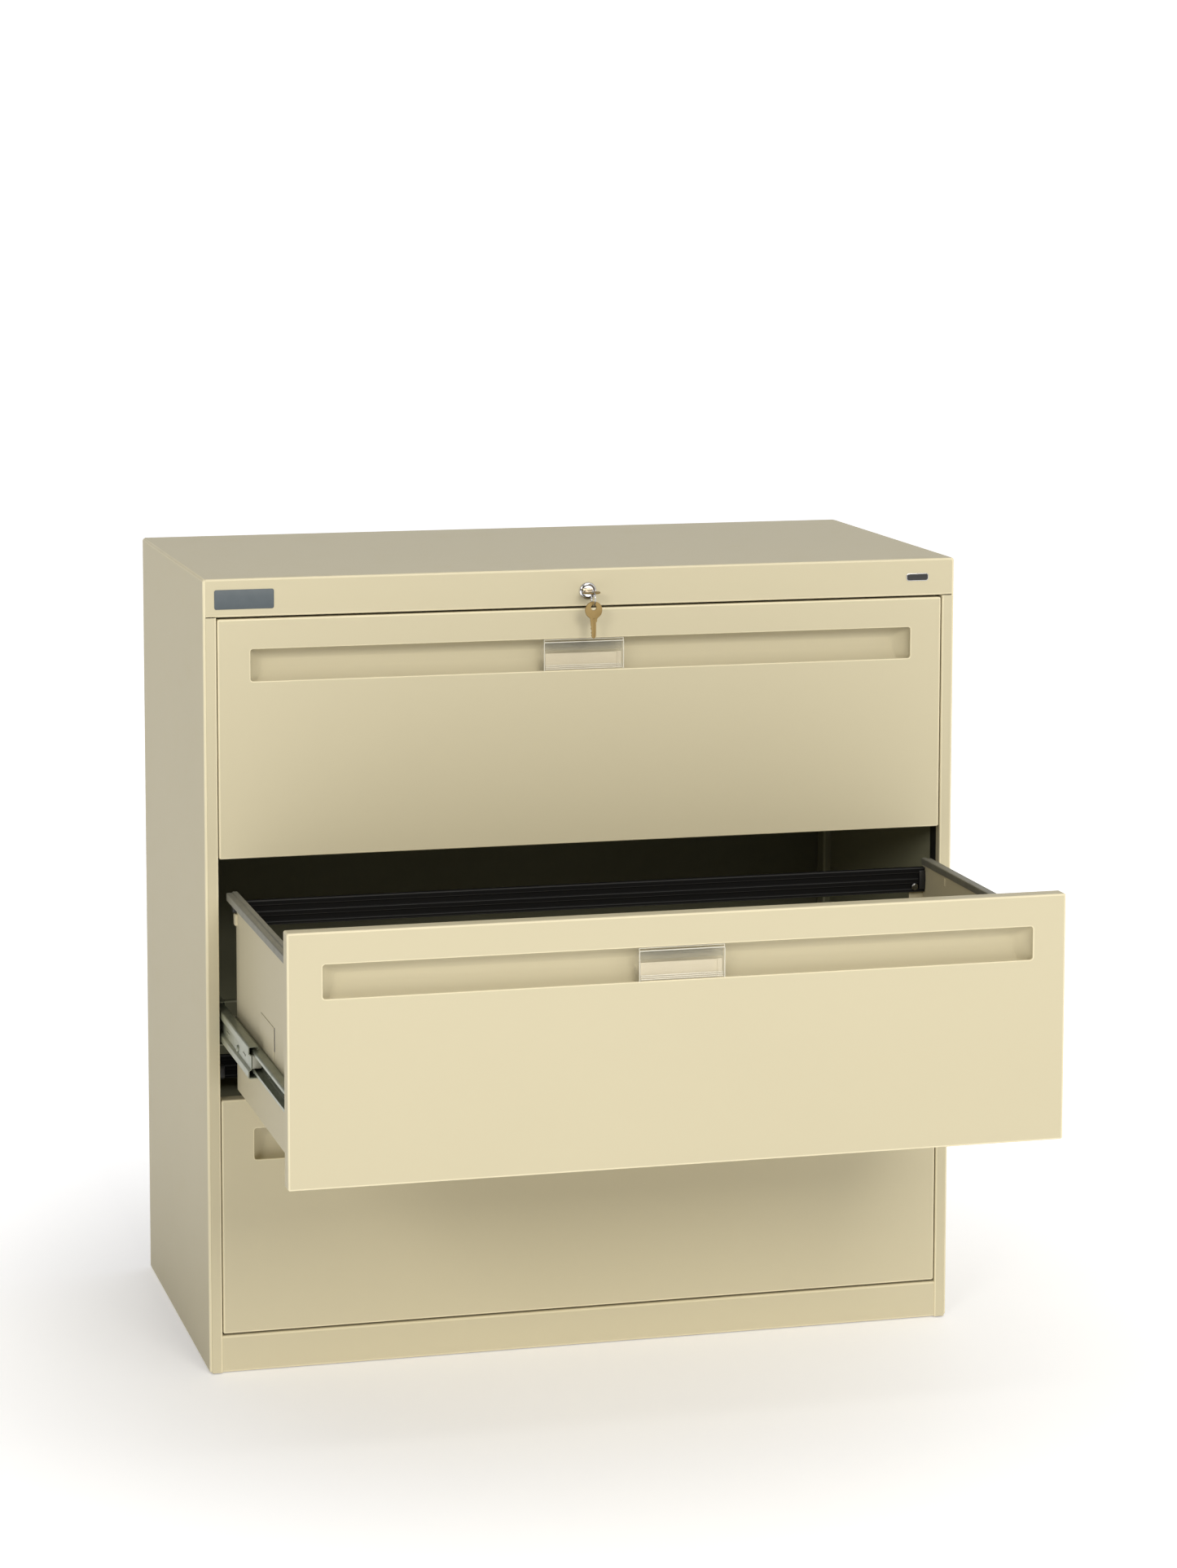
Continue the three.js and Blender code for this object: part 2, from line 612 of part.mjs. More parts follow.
const keyHole = -KEY_STANDOFF - 2 * KEY_BOW_RADIUS + KEY_HOLE_RIM + KEY_HOLE_RADIUS;
// The ring goes round the strip between the bow's hole and its edge, and rests on it.
const stripCentre = keyHole - KEY_HOLE_RADIUS - KEY_HOLE_RIM / 2;
const stripReach = Math.sqrt((RING_RADIUS - RING_WIRE - FIT) ** 2 - (KEY_HOLE_RIM / 2) ** 2);
const ringDrop = stripReach - KEY_SHEET / 2;

place(lock, "lock_housing", lockHousing(), CHROME);
place(lock, "lock_plug", lockPlug(), CHROME);
place(lock, "lock_bar", lockBar(), ZINC);
for (const [name, share] of [["near", GUIDE.nearShare], ["far", GUIDE.farShare]]) {
  const guide = place(lock, `lock_bar_guide_${name}`, lockBarGuide(), ZINC);
  guide.position.x = share * OPENING_HALF;
}
place(lock, "key_in_lock", key(), BRASS);
const ring = place(lock, "key_ring", new THREE.TorusGeometry(RING_RADIUS, RING_WIRE, 8, 32), STEEL_WIRE);
ring.rotation.y = Math.PI / 2;
ring.position.set(0, stripCentre, -ringDrop);

export default cabinet;
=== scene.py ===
# %% [markdown]
# # A lateral filing cabinet
# The cabinet is folded sheet steel: a case, three wide drawers on telescopic slides, and a lock in the
# header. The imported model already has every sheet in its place, so this script only refines what is seen:
# rounded folds, the curved finger pulls, ball tracks, the keys, and the paint. The scene is in metres with
# +Z up, and shapes are worked out in millimetres.

# %% The frame and its box
import json
import math

import bmesh
import bpy
import numpy as np
from mathutils import Matrix, Vector


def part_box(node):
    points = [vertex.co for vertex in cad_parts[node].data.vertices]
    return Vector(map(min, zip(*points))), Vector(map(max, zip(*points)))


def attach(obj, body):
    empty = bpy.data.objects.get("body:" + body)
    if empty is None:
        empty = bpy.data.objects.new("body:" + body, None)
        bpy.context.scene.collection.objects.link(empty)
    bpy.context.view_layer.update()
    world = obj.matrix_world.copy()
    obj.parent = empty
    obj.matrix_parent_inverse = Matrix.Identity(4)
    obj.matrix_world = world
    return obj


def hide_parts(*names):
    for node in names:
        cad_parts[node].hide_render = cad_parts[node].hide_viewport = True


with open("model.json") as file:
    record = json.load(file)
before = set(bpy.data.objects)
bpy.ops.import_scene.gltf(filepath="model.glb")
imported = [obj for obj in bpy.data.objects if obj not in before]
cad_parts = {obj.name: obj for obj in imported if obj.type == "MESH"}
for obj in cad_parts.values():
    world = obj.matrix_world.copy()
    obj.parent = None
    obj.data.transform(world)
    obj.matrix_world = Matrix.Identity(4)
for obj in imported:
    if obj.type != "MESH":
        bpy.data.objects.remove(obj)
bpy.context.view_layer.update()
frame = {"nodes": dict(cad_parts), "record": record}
nodes = frame["nodes"]

# %% [markdown]
# ## The camera
# A long lens stands a little above the cabinet and to its left, which shows the front, one side and the
# top with little convergence. Tilting a camera down makes upright edges lean together, so a small lens
# shift takes over part of the tilt.

# %% Camera
camera_place = Vector((-1.2216, -4.6203, 1.4952))
camera_yaw = 0.2597
camera_pitch = -0.1151
camera_roll = -0.0015

camera_data = bpy.data.cameras.new("camera")
camera_data.sensor_width = 36.0
camera_data.lens = 93.59
camera_data.shift_y = -0.14
camera_data.clip_end = 40.0
camera = bpy.data.objects.new("camera", camera_data)
bpy.context.scene.collection.objects.link(camera)
turn = Matrix.Rotation(-camera_yaw, 4, "Z") @ Matrix.Rotation(math.pi / 2 + camera_pitch, 4, "X")
camera.matrix_world = Matrix.Translation(camera_place) @ turn @ Matrix.Rotation(-camera_roll, 4, "Z")
bpy.context.scene.camera = camera
print("camera distance", round(camera_place.length, 2), "m")

# %% [markdown]
# ## Floor and light
# A pale floor and a bright, even surround suit painted metal, which shows its form by soft gradients. A
# broad light from the front right makes the fronts the brightest faces and leaves the left side in half
# shade. A strip over the top and a painted highlight in the paint draw the bright line along each rounded
# edge.

# %% Floor and lights
def new_object(name, data):
    """An object made from its data and linked into the scene."""
    made = bpy.data.objects.new(name, data)
    bpy.context.scene.collection.objects.link(made)
    return made


floor_reach = 30.0
floor_corners = [(a * floor_reach, b * floor_reach, 0) for a, b in ((-1, -1), (1, -1), (1, 1), (-1, 1))]
floor_mesh = bpy.data.meshes.new("floor")
floor_mesh.from_pydata(floor_corners, [], [(0, 1, 2, 3)])
floor = new_object("floor", floor_mesh)


def area_light(name, place, target, size, power, colour):
    """A soft rectangular light at one point that faces another."""
    data = bpy.data.lights.new(name, "AREA")
    data.shape = "RECTANGLE"
    data.size, data.size_y = size
    data.energy = power
    data.color = colour
    lamp = new_object(name, data)
    lamp.location = place
    lamp.rotation_euler = (Vector(target) - Vector(place)).to_track_quat("-Z", "Y").to_euler()
    return lamp


middle_of_case = (0.0, 0.0, 0.5)
area_light("front_light", (2.0, -14.0, 7.6), middle_of_case, (5.6, 5.0), 1010, (1.0, 0.965, 0.885))
area_light("left_front_light", (-8.3, -11.0, 6.0), middle_of_case, (3.6, 4.0), 425, (1.0, 0.965, 0.89))
area_light("edge_light", (0.0, -1.8, 3.6), (0.0, -0.4, 0.5), (2.6, 0.4), 8, (1.0, 0.98, 0.93))

# %% [markdown]
# The surround has one white patch straight behind the cabinet, and is grey elsewhere: duller on the left
# and above, and brighter on the right. So the fronts are the brightest faces, the top is greyer, and the
# left side lies in half shade, with no hard shadow anywhere.

# %% The surround
world = bpy.data.worlds.new("studio")
bpy.context.scene.world = world
world.use_nodes = True
world_tree = world.node_tree


def world_node(kind, settings, inputs):
    """A node of the surround, with its settings first and then its values or links."""
    made = world_tree.nodes.new(kind)
    for key, value in settings.items():
        setattr(made, key, value)
    for key, value in inputs.items():
        if isinstance(value, bpy.types.NodeSocket):
            world_tree.links.new(value, made.inputs[key])
        else:
            made.inputs[key].default_value = value
    return made.outputs


def world_step(value, low, high, start, end):
    """A smooth change from start to end as value goes from low to high."""
    limits = {"Value": value, "From Min": low, "From Max": high, "To Min": start, "To Max": end}
    return world_node("ShaderNodeMapRange", {"interpolation_type": "SMOOTHSTEP"}, limits)["Result"]


left_level, right_level, patch_level = 0.22, 0.72, 1.04
direction = world_node("ShaderNodeTexCoord", {}, {})["Generated"]
axes = world_node("ShaderNodeSeparateXYZ", {}, {"Vector": direction})
side_level = world_step(axes["X"], -0.7, 0.7, left_level, right_level)
behind = (0.259, 0.966, 0.0)
both_ways = {0: direction, 1: behind}
towards_patch = world_node("ShaderNodeVectorMath", {"operation": "DOT_PRODUCT"}, both_ways)["Value"]
patch = world_step(towards_patch, 0.88, 0.953, 0.0, 1.0)
levels_mixed = {0: patch, 2: side_level, 3: patch_level}
level_here = world_node("ShaderNodeMix", {"data_type": "FLOAT"}, levels_mixed)["Result"]
background = world_tree.nodes["Background"]
background.inputs["Color"].default_value = (1.0, 1.0, 1.0, 1.0)
world_tree.links.new(level_here, background.inputs["Strength"])
bpy.context.scene.view_settings.view_transform = "Standard"
print("surround:", left_level, "on the left,", right_level, "on the right,", patch_level, "in the patch")

# %% [markdown]
# ## Writing shaders as sums
# A procedural finish is arithmetic on patterns. One small class wraps a socket so that `0.3 + 0.1 *
# speckle` adds its own Math nodes, and one method makes any other node. That keeps each paint a few
# readable lines.

# %% Shader arithmetic
class Socket:
    """A number that varies over a surface, with Python's arithmetic."""

    def __init__(self, paint, link):
        self.paint = paint
        self.link = link

    def _math(self, operation, first, second):
        return self.paint.node("ShaderNodeMath", {"operation": operation}, {0: first, 1: second})

    def __add__(self, other):
        return self._math("ADD", self, other)

    __radd__ = __add__

    def __mul__(self, other):
        return self._math("MULTIPLY", self, other)

    __rmul__ = __mul__

    def __sub__(self, other):
        return self._math("SUBTRACT", self, other)

    def __rsub__(self, other):
        return self._math("SUBTRACT", other, self)


class Paint:
    """A material whose nodes are made by one method."""

    def __init__(self, name):
        self.material = bpy.data.materials.new(name)
        self.material.use_nodes = True
        self.tree = self.material.node_tree
        self.shader = self.tree.nodes["Principled BSDF"]
        self.place = self.node("ShaderNodeTexCoord", {}, {}, "Object")

    def plug(self, socket, value):
        if isinstance(value, Socket):
            self.tree.links.new(value.link, socket)
        else:
            socket.default_value = value

    def node(self, kind, settings, inputs, output=0):
        """Makes a node: its settings first, then the values or links of its sockets."""
        made = self.tree.nodes.new(kind)
        for key, value in settings.items():
            setattr(made, key, value)
        for key, value in inputs.items():
            self.plug(made.inputs[key], value)
        return Socket(self, made.outputs[output])

    def noise(self, scale, detail=2.0, where=None):
        """Noise with features about 1/scale metres wide, from 0 to 1."""
        inputs = {"Vector": where or self.place, "Scale": scale, "Detail": detail}
        return self.node("ShaderNodeTexNoise", {}, inputs, "Fac")

    def ramp(self, value, low, high):
        """0 below low, 1 above high, and smooth between."""
        inputs = {"Value": value, "From Min": low, "From Max": high}
        return self.node("ShaderNodeMapRange", {"interpolation_type": "SMOOTHSTEP"}, inputs, "Result")

    def stretched(self, scale):
        """Object coordinates stretched by a factor on each axis."""
        return self.node("ShaderNodeMapping", {}, {"Vector": self.place, "Scale": scale})

    def mix(self, share, first, second):
        """One colour turning into another as share goes from 0 to 1."""
        return self.node("ShaderNodeMix", {"data_type": "RGBA"}, {0: share, 6: first, 7: second}, 2)

    def set(self, **sockets):
        """Sets or links the shader's sockets; an underscore stands for a space in a socket's name."""
        for key, value in sockets.items():
            self.plug(self.shader.inputs[key.replace("_", " ")], value)
        return self

    def bump(self, height, strength, distance):
        """Small relief: height is read from 0 to 1, and distance is its depth in metres."""
        inputs = {"Height": height, "Strength": strength, "Distance": distance}
        self.plug(self.shader.inputs["Normal"], self.node("ShaderNodeBump", {}, inputs, "Normal"))
        return self


# %% [markdown]
# ## The finishes
# Powder coat is sprayed dust melted into a skin, so it has a faint orange peel a millimetre or two across,
# a slight unevenness in gloss, and a hardly visible drift in colour over a big panel.

# %% Putty powder coat and dark interior paint
def powder_coat(name, colour, shade, roughness, peel, index=1.055):
    """Two close colours drifting over the panel, a painted highlight that makes it paler along each rounded
    edge, a fine peel in the surface, and gloss that varies with it. A low index keeps its sheen weak."""
    paint = Paint(name)
    drift = paint.noise(3.0, 3.0)
    peel_noise = paint.noise(620.0, 1.5)
    grain = paint.noise(2400.0, 1.0)
    dust = paint.ramp(paint.noise(38.0, 6.0), 0.52, 0.78)
    # The edge attribute is the mask of a painted highlight: along each outward fold the paint turns paler,
    # standing in for the light that the fold catches.
    bend = paint.node("ShaderNodeAttribute", {"attribute_name": "edge"}, {}, "Fac")
    edge = bend * (0.9 - paint.noise(25.0) * 0.3)
    painted_highlight_colour = tuple(min(1.0, 1.34 * c + 0.03) for c in colour)
    body_colour = paint.mix(drift * 0.7 + grain * 0.3, colour, shade)
    paint.set(
        Base_Color=paint.mix(edge, body_colour, painted_highlight_colour),
        Roughness=roughness + dust * 0.05 + (grain - 0.5) * 0.06,
        Coat_Weight=0.05 - dust * 0.03,
    )
    paint.shader.inputs["Coat Roughness"].default_value = 0.25
    paint.shader.inputs["IOR"].default_value = index
    return paint.bump(peel_noise + grain * 0.35, peel, 0.0002)


putty = powder_coat("putty_powder_coat", (0.575, 0.52, 0.365, 1), (0.545, 0.492, 0.345, 1), 0.34, 0.12)
interior = powder_coat("dark_interior_paint", (0.34, 0.34, 0.24, 1), (0.27, 0.27, 0.185, 1), 0.45, 0.15)
# The back wall and its braces get a darker paint than the interior: painted shade for the deep back of the
# case.
back_shade_paint = powder_coat("back_painted_shade", (0.19, 0.19, 0.13, 1), (0.13, 0.13, 0.09, 1), 0.45, 0.15)
black_paint = powder_coat("black_rail_paint", (0.006, 0.006, 0.006, 1), (0.01, 0.01, 0.01, 1), 0.5, 0.1, 1.1)
floor_paint = powder_coat("pale_floor", (0.86, 0.86, 0.855, 1), (0.84, 0.84, 0.835, 1), 0.75, 0.02, 1.15)
# The floor glows a little, and more so away from the cabinet, so it fades into the pale surround.
flat_place = floor_paint.stretched((1.0, 1.0, 0.0))
distance = floor_paint.node("ShaderNodeVectorMath", {"operation": "LENGTH"}, {0: flat_place}, "Value")
glow = floor_paint.ramp(distance, 0.3, 1.3)
floor_paint.set(Emission_Color=floor_paint.mix(glow, (0.22, 0.22, 0.24, 1), (0.62, 0.62, 0.63, 1)))
floor_paint.shader.inputs["Emission Strength"].default_value = 1.0
floor_mesh.materials.append(floor_paint.material)
print("powder coats:", [paint.material.name for paint in (putty, interior, back_shade_paint, black_paint)])


# %% Metals
def metal(name, colour, shade, roughness, brushed=(1.0, 1.0, 1.0), scratch=0.0, bare=1.0):
    """A metal with streaks drawn out along one axis. It is fully metallic at bare 1, and duller below."""
    paint = Paint(name)
    streak = paint.noise(900.0, 4.0, paint.stretched(brushed))
    stain = paint.noise(60.0, 4.0)
    paint.set(
        Base_Color=paint.mix(stain, colour, shade),
        Roughness=roughness + streak * 0.14 + paint.ramp(stain, 0.5, 0.8) * 0.08,
    )
    paint.shader.inputs["Metallic"].default_value = bare
    return paint.bump(streak, 0.08 + scratch, 0.0001)


along_slide, along_rail = (1.0, 0.04, 1.0), (1.0, 0.03, 1.0)
zinc = metal("yellow_zinc_plate", (0.36, 0.37, 0.285, 1), (0.22, 0.245, 0.18, 1), 0.28, along_slide, bare=0.5)
rail_grey, rail_shade = (0.27, 0.262, 0.215, 1), (0.21, 0.205, 0.17, 1)
rail_steel = metal("grey_rail_plate", rail_grey, rail_shade, 0.46, along_rail, bare=0.35)
rail_steel.shader.inputs["IOR"].default_value = 1.2
chrome = metal("bright_chrome", (0.80, 0.80, 0.82, 1), (0.70, 0.70, 0.72, 1), 0.05)
brass = metal("stamped_brass", (0.40, 0.285, 0.125, 1), (0.24, 0.165, 0.065, 1), 0.34, (1.0, 1.0, 0.2), 0.05)
plug_nickel = metal("dull_nickel", (0.22, 0.22, 0.215, 1), (0.13, 0.13, 0.125, 1), 0.18)
wire_steel = metal("spring_wire", (0.55, 0.55, 0.56, 1), (0.40, 0.40, 0.41, 1), 0.2)
metals = (zinc, rail_steel, chrome, brass, plug_nickel, wire_steel)
print("metals:", [paint.material.name for paint in metals])


# %% Plastics
def plastic(name, colour, shade, roughness, alpha=1.0):
    """A moulded plastic: even colour, fine texture, and gloss that is duller where it is handled."""
    paint = Paint(name)
    haze = paint.noise(90.0, 4.0)
    paint.set(
        Base_Color=paint.mix(haze, colour, shade),
        Roughness=roughness + haze * 0.12,
        Alpha=alpha,
    )
    return paint.bump(paint.noise(1500.0, 2.0), 0.05, 0.0001)


black_plastic = plastic("black_plastic", (0.014, 0.014, 0.014, 1), (0.022, 0.022, 0.023, 1), 0.38)
cream_plastic = plastic("cream_acetal", (0.50, 0.49, 0.40, 1), (0.44, 0.43, 0.35, 1), 0.35)
clear_plastic = plastic("clear_label_plastic", (0.80, 0.79, 0.72, 1), (0.72, 0.71, 0.64, 1), 0.10, 0.05)
# Label rims: pale and half opaque, a painted highlight.
rim_highlight_plastic = plastic("label_rim_painted_highlight", (0.92, 0.90, 0.80, 1), (0.85, 0.83, 0.73, 1), 0.12, 0.5)
# A dark, half clear plastic for painted shade inside the label holders.
label_shade_plastic = plastic("label_painted_shade", (0.26, 0.245, 0.17, 1), (0.21, 0.20, 0.135, 1), 0.3, 0.17)
card = plastic("label_card", (0.80, 0.72, 0.54, 1), (0.74, 0.66, 0.49, 1), 0.7, 0.6)
notice_face = plastic("slate_plate", (0.085, 0.105, 0.118, 1), (0.07, 0.088, 0.10, 1), 0.42)
badge_face = plastic("badge_black", (0.012, 0.012, 0.012, 1), (0.02, 0.02, 0.02, 1), 0.25)
print("finishes in all:", len(bpy.data.materials))

# %% [markdown]
# ## Surfaces from numbers
# Sheet metal is a section carried along a line, and a pan is an outline that changes from ring to ring. So
# two builders make nearly every piece: each works out a whole grid of points at once and joins neighbours
# by quads.

# %% Grids into meshes
MM = 0.001


def quads(rows, columns, wrap_rows, wrap_columns):
    """The four corners' indices of every cell of a grid. A wrapped direction also joins its last line to its
    first."""
    row = np.arange(rows if wrap_rows else rows - 1)
    column = np.arange(columns if wrap_columns else columns - 1)
    r, c = np.meshgrid(row, column, indexing="ij")
    below, above, after = r * columns, (r + 1) % rows * columns, (c + 1) % columns
    return np.stack([below + c, below + after, above + after, above + c], -1).reshape(-1, 4)


def volume(points, faces):
    """Signed volume inside the faces: positive when they face outwards."""
    a, b, c, d = (points[faces[:, k]] for k in range(4))
    return (np.einsum("ij,ij->i", a, np.cross(b, c)) + np.einsum("ij,ij->i", a, np.cross(c, d))).sum() / 6


def surface(grid, wrap_rows=True, wrap_columns=True):
    """Points and outward quads of one closed grid given in millimetres."""
    rows, columns = grid.shape[:2]
    points = grid.reshape(-1, 3)
    faces = quads(rows, columns, wrap_rows, wrap_columns)
    if volume(points - points.mean(0), faces) < 0:
        faces = faces[:, ::-1]
    return points, faces


def edge_share(mesh):
    """How far each vertex lies on an outward bend, from 0 to 1. An edge's share is the angle between its two
    faces over fifteen degrees, if they fall away from each other, lie close together, and are no cut end. A
    vertex takes the largest share of its edges."""
    loops, faces = len(mesh.loops), len(mesh.polygons)
    loop_edge, sizes = np.empty(loops, int), np.empty(faces, int)
    normal, centre = np.empty(faces * 3), np.empty(faces * 3)
    ends = np.empty(len(mesh.edges) * 2, int)
    mesh.loops.foreach_get("edge_index", loop_edge)
    mesh.polygons.foreach_get("loop_total", sizes)
    mesh.polygons.foreach_get("normal", normal)
    mesh.polygons.foreach_get("center", centre)
    mesh.edges.foreach_get("vertices", ends)
    normal, centre, ends = normal.reshape(-1, 3), centre.reshape(-1, 3), ends.reshape(-1, 2)
    order = np.argsort(loop_edge, kind="stable")
    owner = np.repeat(np.arange(faces), sizes)[order]
    sorted_edge = loop_edge[order]
    pair = np.flatnonzero(sorted_edge[1:] == sorted_edge[:-1])
    first, second, edge = owner[pair], owner[pair + 1], sorted_edge[pair]
    bend = np.degrees(np.arccos(np.clip((normal[first] * normal[second]).sum(1), -1, 1)))
    across = centre[second] - centre[first]
    outward = (normal[first] * across).sum(1) < 0
    tight = np.linalg.norm(across, axis=1) < 1.5 * MM
    amount = np.where(outward & tight & (bend < 40), np.clip(bend / 15.0, 0, 1), 0.0)
    share = np.zeros(len(mesh.vertices))
    np.maximum.at(share, ends[edge, 0], amount)
    np.maximum.at(share, ends[edge, 1], amount)
    return share


def piece(name, parts, paint, body, stands_for=(), smooth=35.0):
    """One object from closed surfaces in millimetres. Doubled points at seams and poles are merged."""
    starts = np.cumsum([0] + [len(points) for points, _ in parts])
    all_points = np.concatenate([points for points, _ in parts]) * MM
    all_faces = np.concatenate([faces + start for (_, faces), start in zip(parts, starts)])
    mesh = bpy.data.meshes.new(name)
    mesh.from_pydata(all_points.tolist(), [], all_faces.tolist())
    work = bmesh.new()
    work.from_mesh(mesh)
    bmesh.ops.remove_doubles(work, verts=work.verts, dist=2e-6)
    bmesh.ops.dissolve_degenerate(work, dist=1e-7, edges=work.edges)
    work.to_mesh(mesh)
    work.free()
    mesh.polygons.foreach_set("use_smooth", np.ones(len(mesh.polygons), bool))
    mesh.set_sharp_from_angle(angle=math.radians(smooth))
    # The edge attribute is the mask of a painted highlight: powder coats turn paler along each outward fold.
    mesh.attributes.new("edge", "FLOAT", "POINT").data.foreach_set("value", edge_share(mesh))
    mesh.materials.append(paint.material)
    made = new_object(name, mesh)
    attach(made, body)
    if stands_for:
        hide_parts(*stands_for)
    return made


# %% [markdown]
# A fold is an arc of a given radius between two straight runs. A short hold on each side of the arc keeps
# the smooth shading inside the fold, so that the flats stay flat.

# %% Folded sheets
def rounded_path(corners, radii, steps, hold):
    """A polyline in a plane whose inner corners are arcs, with a holding point on each side of an arc."""
    corners = [np.array(corner, float) for corner in corners]
    result = [corners[0]]
    for before, corner, after, radius in zip(corners, corners[1:], corners[2:], radii):
        back = (before - corner) / np.linalg.norm(before - corner)
        ahead = (after - corner) / np.linalg.norm(after - corner)
        half = math.acos(np.clip(back @ ahead, -1, 1)) / 2
        reach = radius / math.tan(half)
        centre = corner + (back + ahead) / np.linalg.norm(back + ahead) * radius / math.sin(half)
        start, end = corner + back * reach, corner + ahead * reach
        sweep = (math.pi - 2 * half) * np.linspace(0, 1, steps + 1)[:, None]
        across = (end - centre) - (start - centre) * math.cos(math.pi - 2 * half)
        across = across / np.linalg.norm(across) * radius
        arc = centre + (start - centre) * np.cos(sweep) + across * np.sin(sweep)
        result += [start + back * hold, *arc, end + ahead * hold]
    return np.array(result + [corners[-1]])


def sheet_section(corners, thickness, bend=1.0, steps=6):
    """Both faces of a folded sheet as two lines with the same number of points. The outer line follows the
    corners, and the other lies one thickness to its left, or right if negative. Each fold's two arcs share a
    centre."""
    corners = np.array(corners, float)
    along = np.diff(corners, axis=0)
    along /= np.linalg.norm(along, axis=1)[:, None]
    normal = np.stack([-along[:, 1], along[:, 0]], 1)
    first = np.concatenate([normal[:1], normal])
    second = np.concatenate([normal, normal[-1:]])
    mitre = first + second
    offset = corners + mitre * (2 * thickness / (mitre ** 2).sum(1))[:, None]
    turns = along[:-1, 0] * along[1:, 1] - along[:-1, 1] * along[1:, 0]
    inside = turns * thickness > 0
    near = np.where(inside, bend + abs(thickness), bend)
    far = np.where(inside, bend, bend + abs(thickness))
    hold = min(0.3, bend * 0.4)
    return rounded_path(corners, near, steps, hold), rounded_path(offset, far, steps, hold)


AXES = {"x": (1, 2, 0), "y": (0, 2, 1), "z": (0, 1, 2)}


def placed(outlines, depths, axis):
    """Rows of flat outlines, each at its own depth along an axis, as one grid of points."""
    u, v, w = AXES[axis]
    grid = np.empty((len(outlines), len(outlines[0]), 3))
    grid[..., u] = np.stack(outlines)[..., 0]
    grid[..., v] = np.stack(outlines)[..., 1]
    grid[..., w] = np.reshape(depths, (-1, 1))
    return grid


def folded(corners, thickness, axis, start, end, bend=1.0, steps=6):
    """A folded sheet: both faces of its section make one loop, which is carried along the axis. At each end
    the two faces are drawn together onto their middle line, which closes the sheet."""
    near, far = sheet_section(corners, thickness, bend, steps)
    loop = np.concatenate([near, far[::-1]])
    middle = (loop + loop[::-1]) / 2
    return surface(placed([middle, loop, loop, middle], [start, start, end, end], axis), wrap_rows=False)


# %% [markdown]
# A pan, a plate or a trough is a stack of rounded rectangles. Each ring says where its four sides are, how
# round its corners are and how deep it lies, so a rolled edge is only a few rings whose sides move in as
# they go back.

# %% Ringed outlines
def rounded_ring(u0, u1, v0, v1, radius, steps=5):
    """A rounded rectangle's points, the same number for any size, starting at the lower right corner."""
    radius = max(min(radius, (u1 - u0) / 2, (v1 - v0) / 2), 0.0)
    angle = np.linspace(0, math.pi / 2, steps + 1)
    corner = [
        np.stack([cu + radius * np.cos(angle + begin), cv + radius * np.sin(angle + begin)], 1)
        for cu, cv, begin in (
            (u1 - radius, v1 - radius, 0.0),
            (u0 + radius, v1 - radius, math.pi / 2),
            (u0 + radius, v0 + radius, math.pi),
            (u1 - radius, v0 + radius, 1.5 * math.pi),
        )
    ]
    return np.concatenate(corner)


def ringed(rings, axis="y", closed=True):
    """Rings of (u0, u1, v0, v1, radius, depth), joined in turn. Closed rings come back to the first one."""
    outlines = [rounded_ring(*ring[:5]) for ring in rings]
    return surface(placed(outlines, [ring[5] for ring in rings], axis), wrap_rows=closed)


def slab(u0, u1, v0, v1, low, high, axis="y", corner=0.6, edge=0.4):
    """A plate with rounded corners and softened edges: rings that open from a line, and close to one."""
    middle = (v0 + v1) / 2
    line = (u0 + corner, u1 - corner, middle, middle, 0.0)
    soft = [
        (u0 + i, u1 - i, v0 + i, v1 - i, max(corner - i, 0.05), d)
        for i, d in ((edge, low), (edge * 0.3, low + edge * 0.3), (0, low + edge))
    ]
    back = [(*ring[:5], high + low - ring[5]) for ring in soft[::-1]]
    return ringed([(*line, low), *soft, *back, (*line, high)], axis, closed=False)


def turned(profile, centre, axis="y", sides=40):
    """A profile of (radius, depth) turned about an axis through centre: each ring is radius times cosine and
    sine. A profile that comes back to its first point makes a closed ring."""
    radius, depth = np.array(profile, float).T
    angle = np.linspace(0, 2 * math.pi, sides, endpoint=False)
    circle = np.stack([np.cos(angle), np.sin(angle)], 1)
    grid = placed(list(radius[:, None, None] * circle), depth, axis)
    return surface(grid + np.array(centre, float), wrap_rows=profile[0] == profile[-1])


# %% [markdown]
# ## The case
# The two side panels wrap round to the front as narrow posts. The top sheet lies between them and folds
# down as the header, so a fine seam runs beside it. A thin shadow gap is what makes sheets read as
# separate pieces.

# %% Reference sizes from the model, in millimetres
def box_mm(node):
    """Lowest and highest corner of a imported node, in millimetres."""
    low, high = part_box(node)
    return np.array(low) / MM, np.array(high) / MM


top_low, top_high = box_mm("top_panel")
side_low, side_high = box_mm("side_panel_right")
base_low, base_high = box_mm("base_panel")
liner_low, liner_high = box_mm("slide_liner_right")
half_width = side_high[0]
opening_half = side_low[0]
case_front = top_low[1]
case_back = top_high[1]
case_top = top_high[2]
header_bottom = top_low[2]
case_sheet = 1.2
drawer_sheet = 1.0
edge_round = 3.0
print("case", *(round(size, 1) for size in (2 * half_width, case_back - case_front, case_top)), "mm")


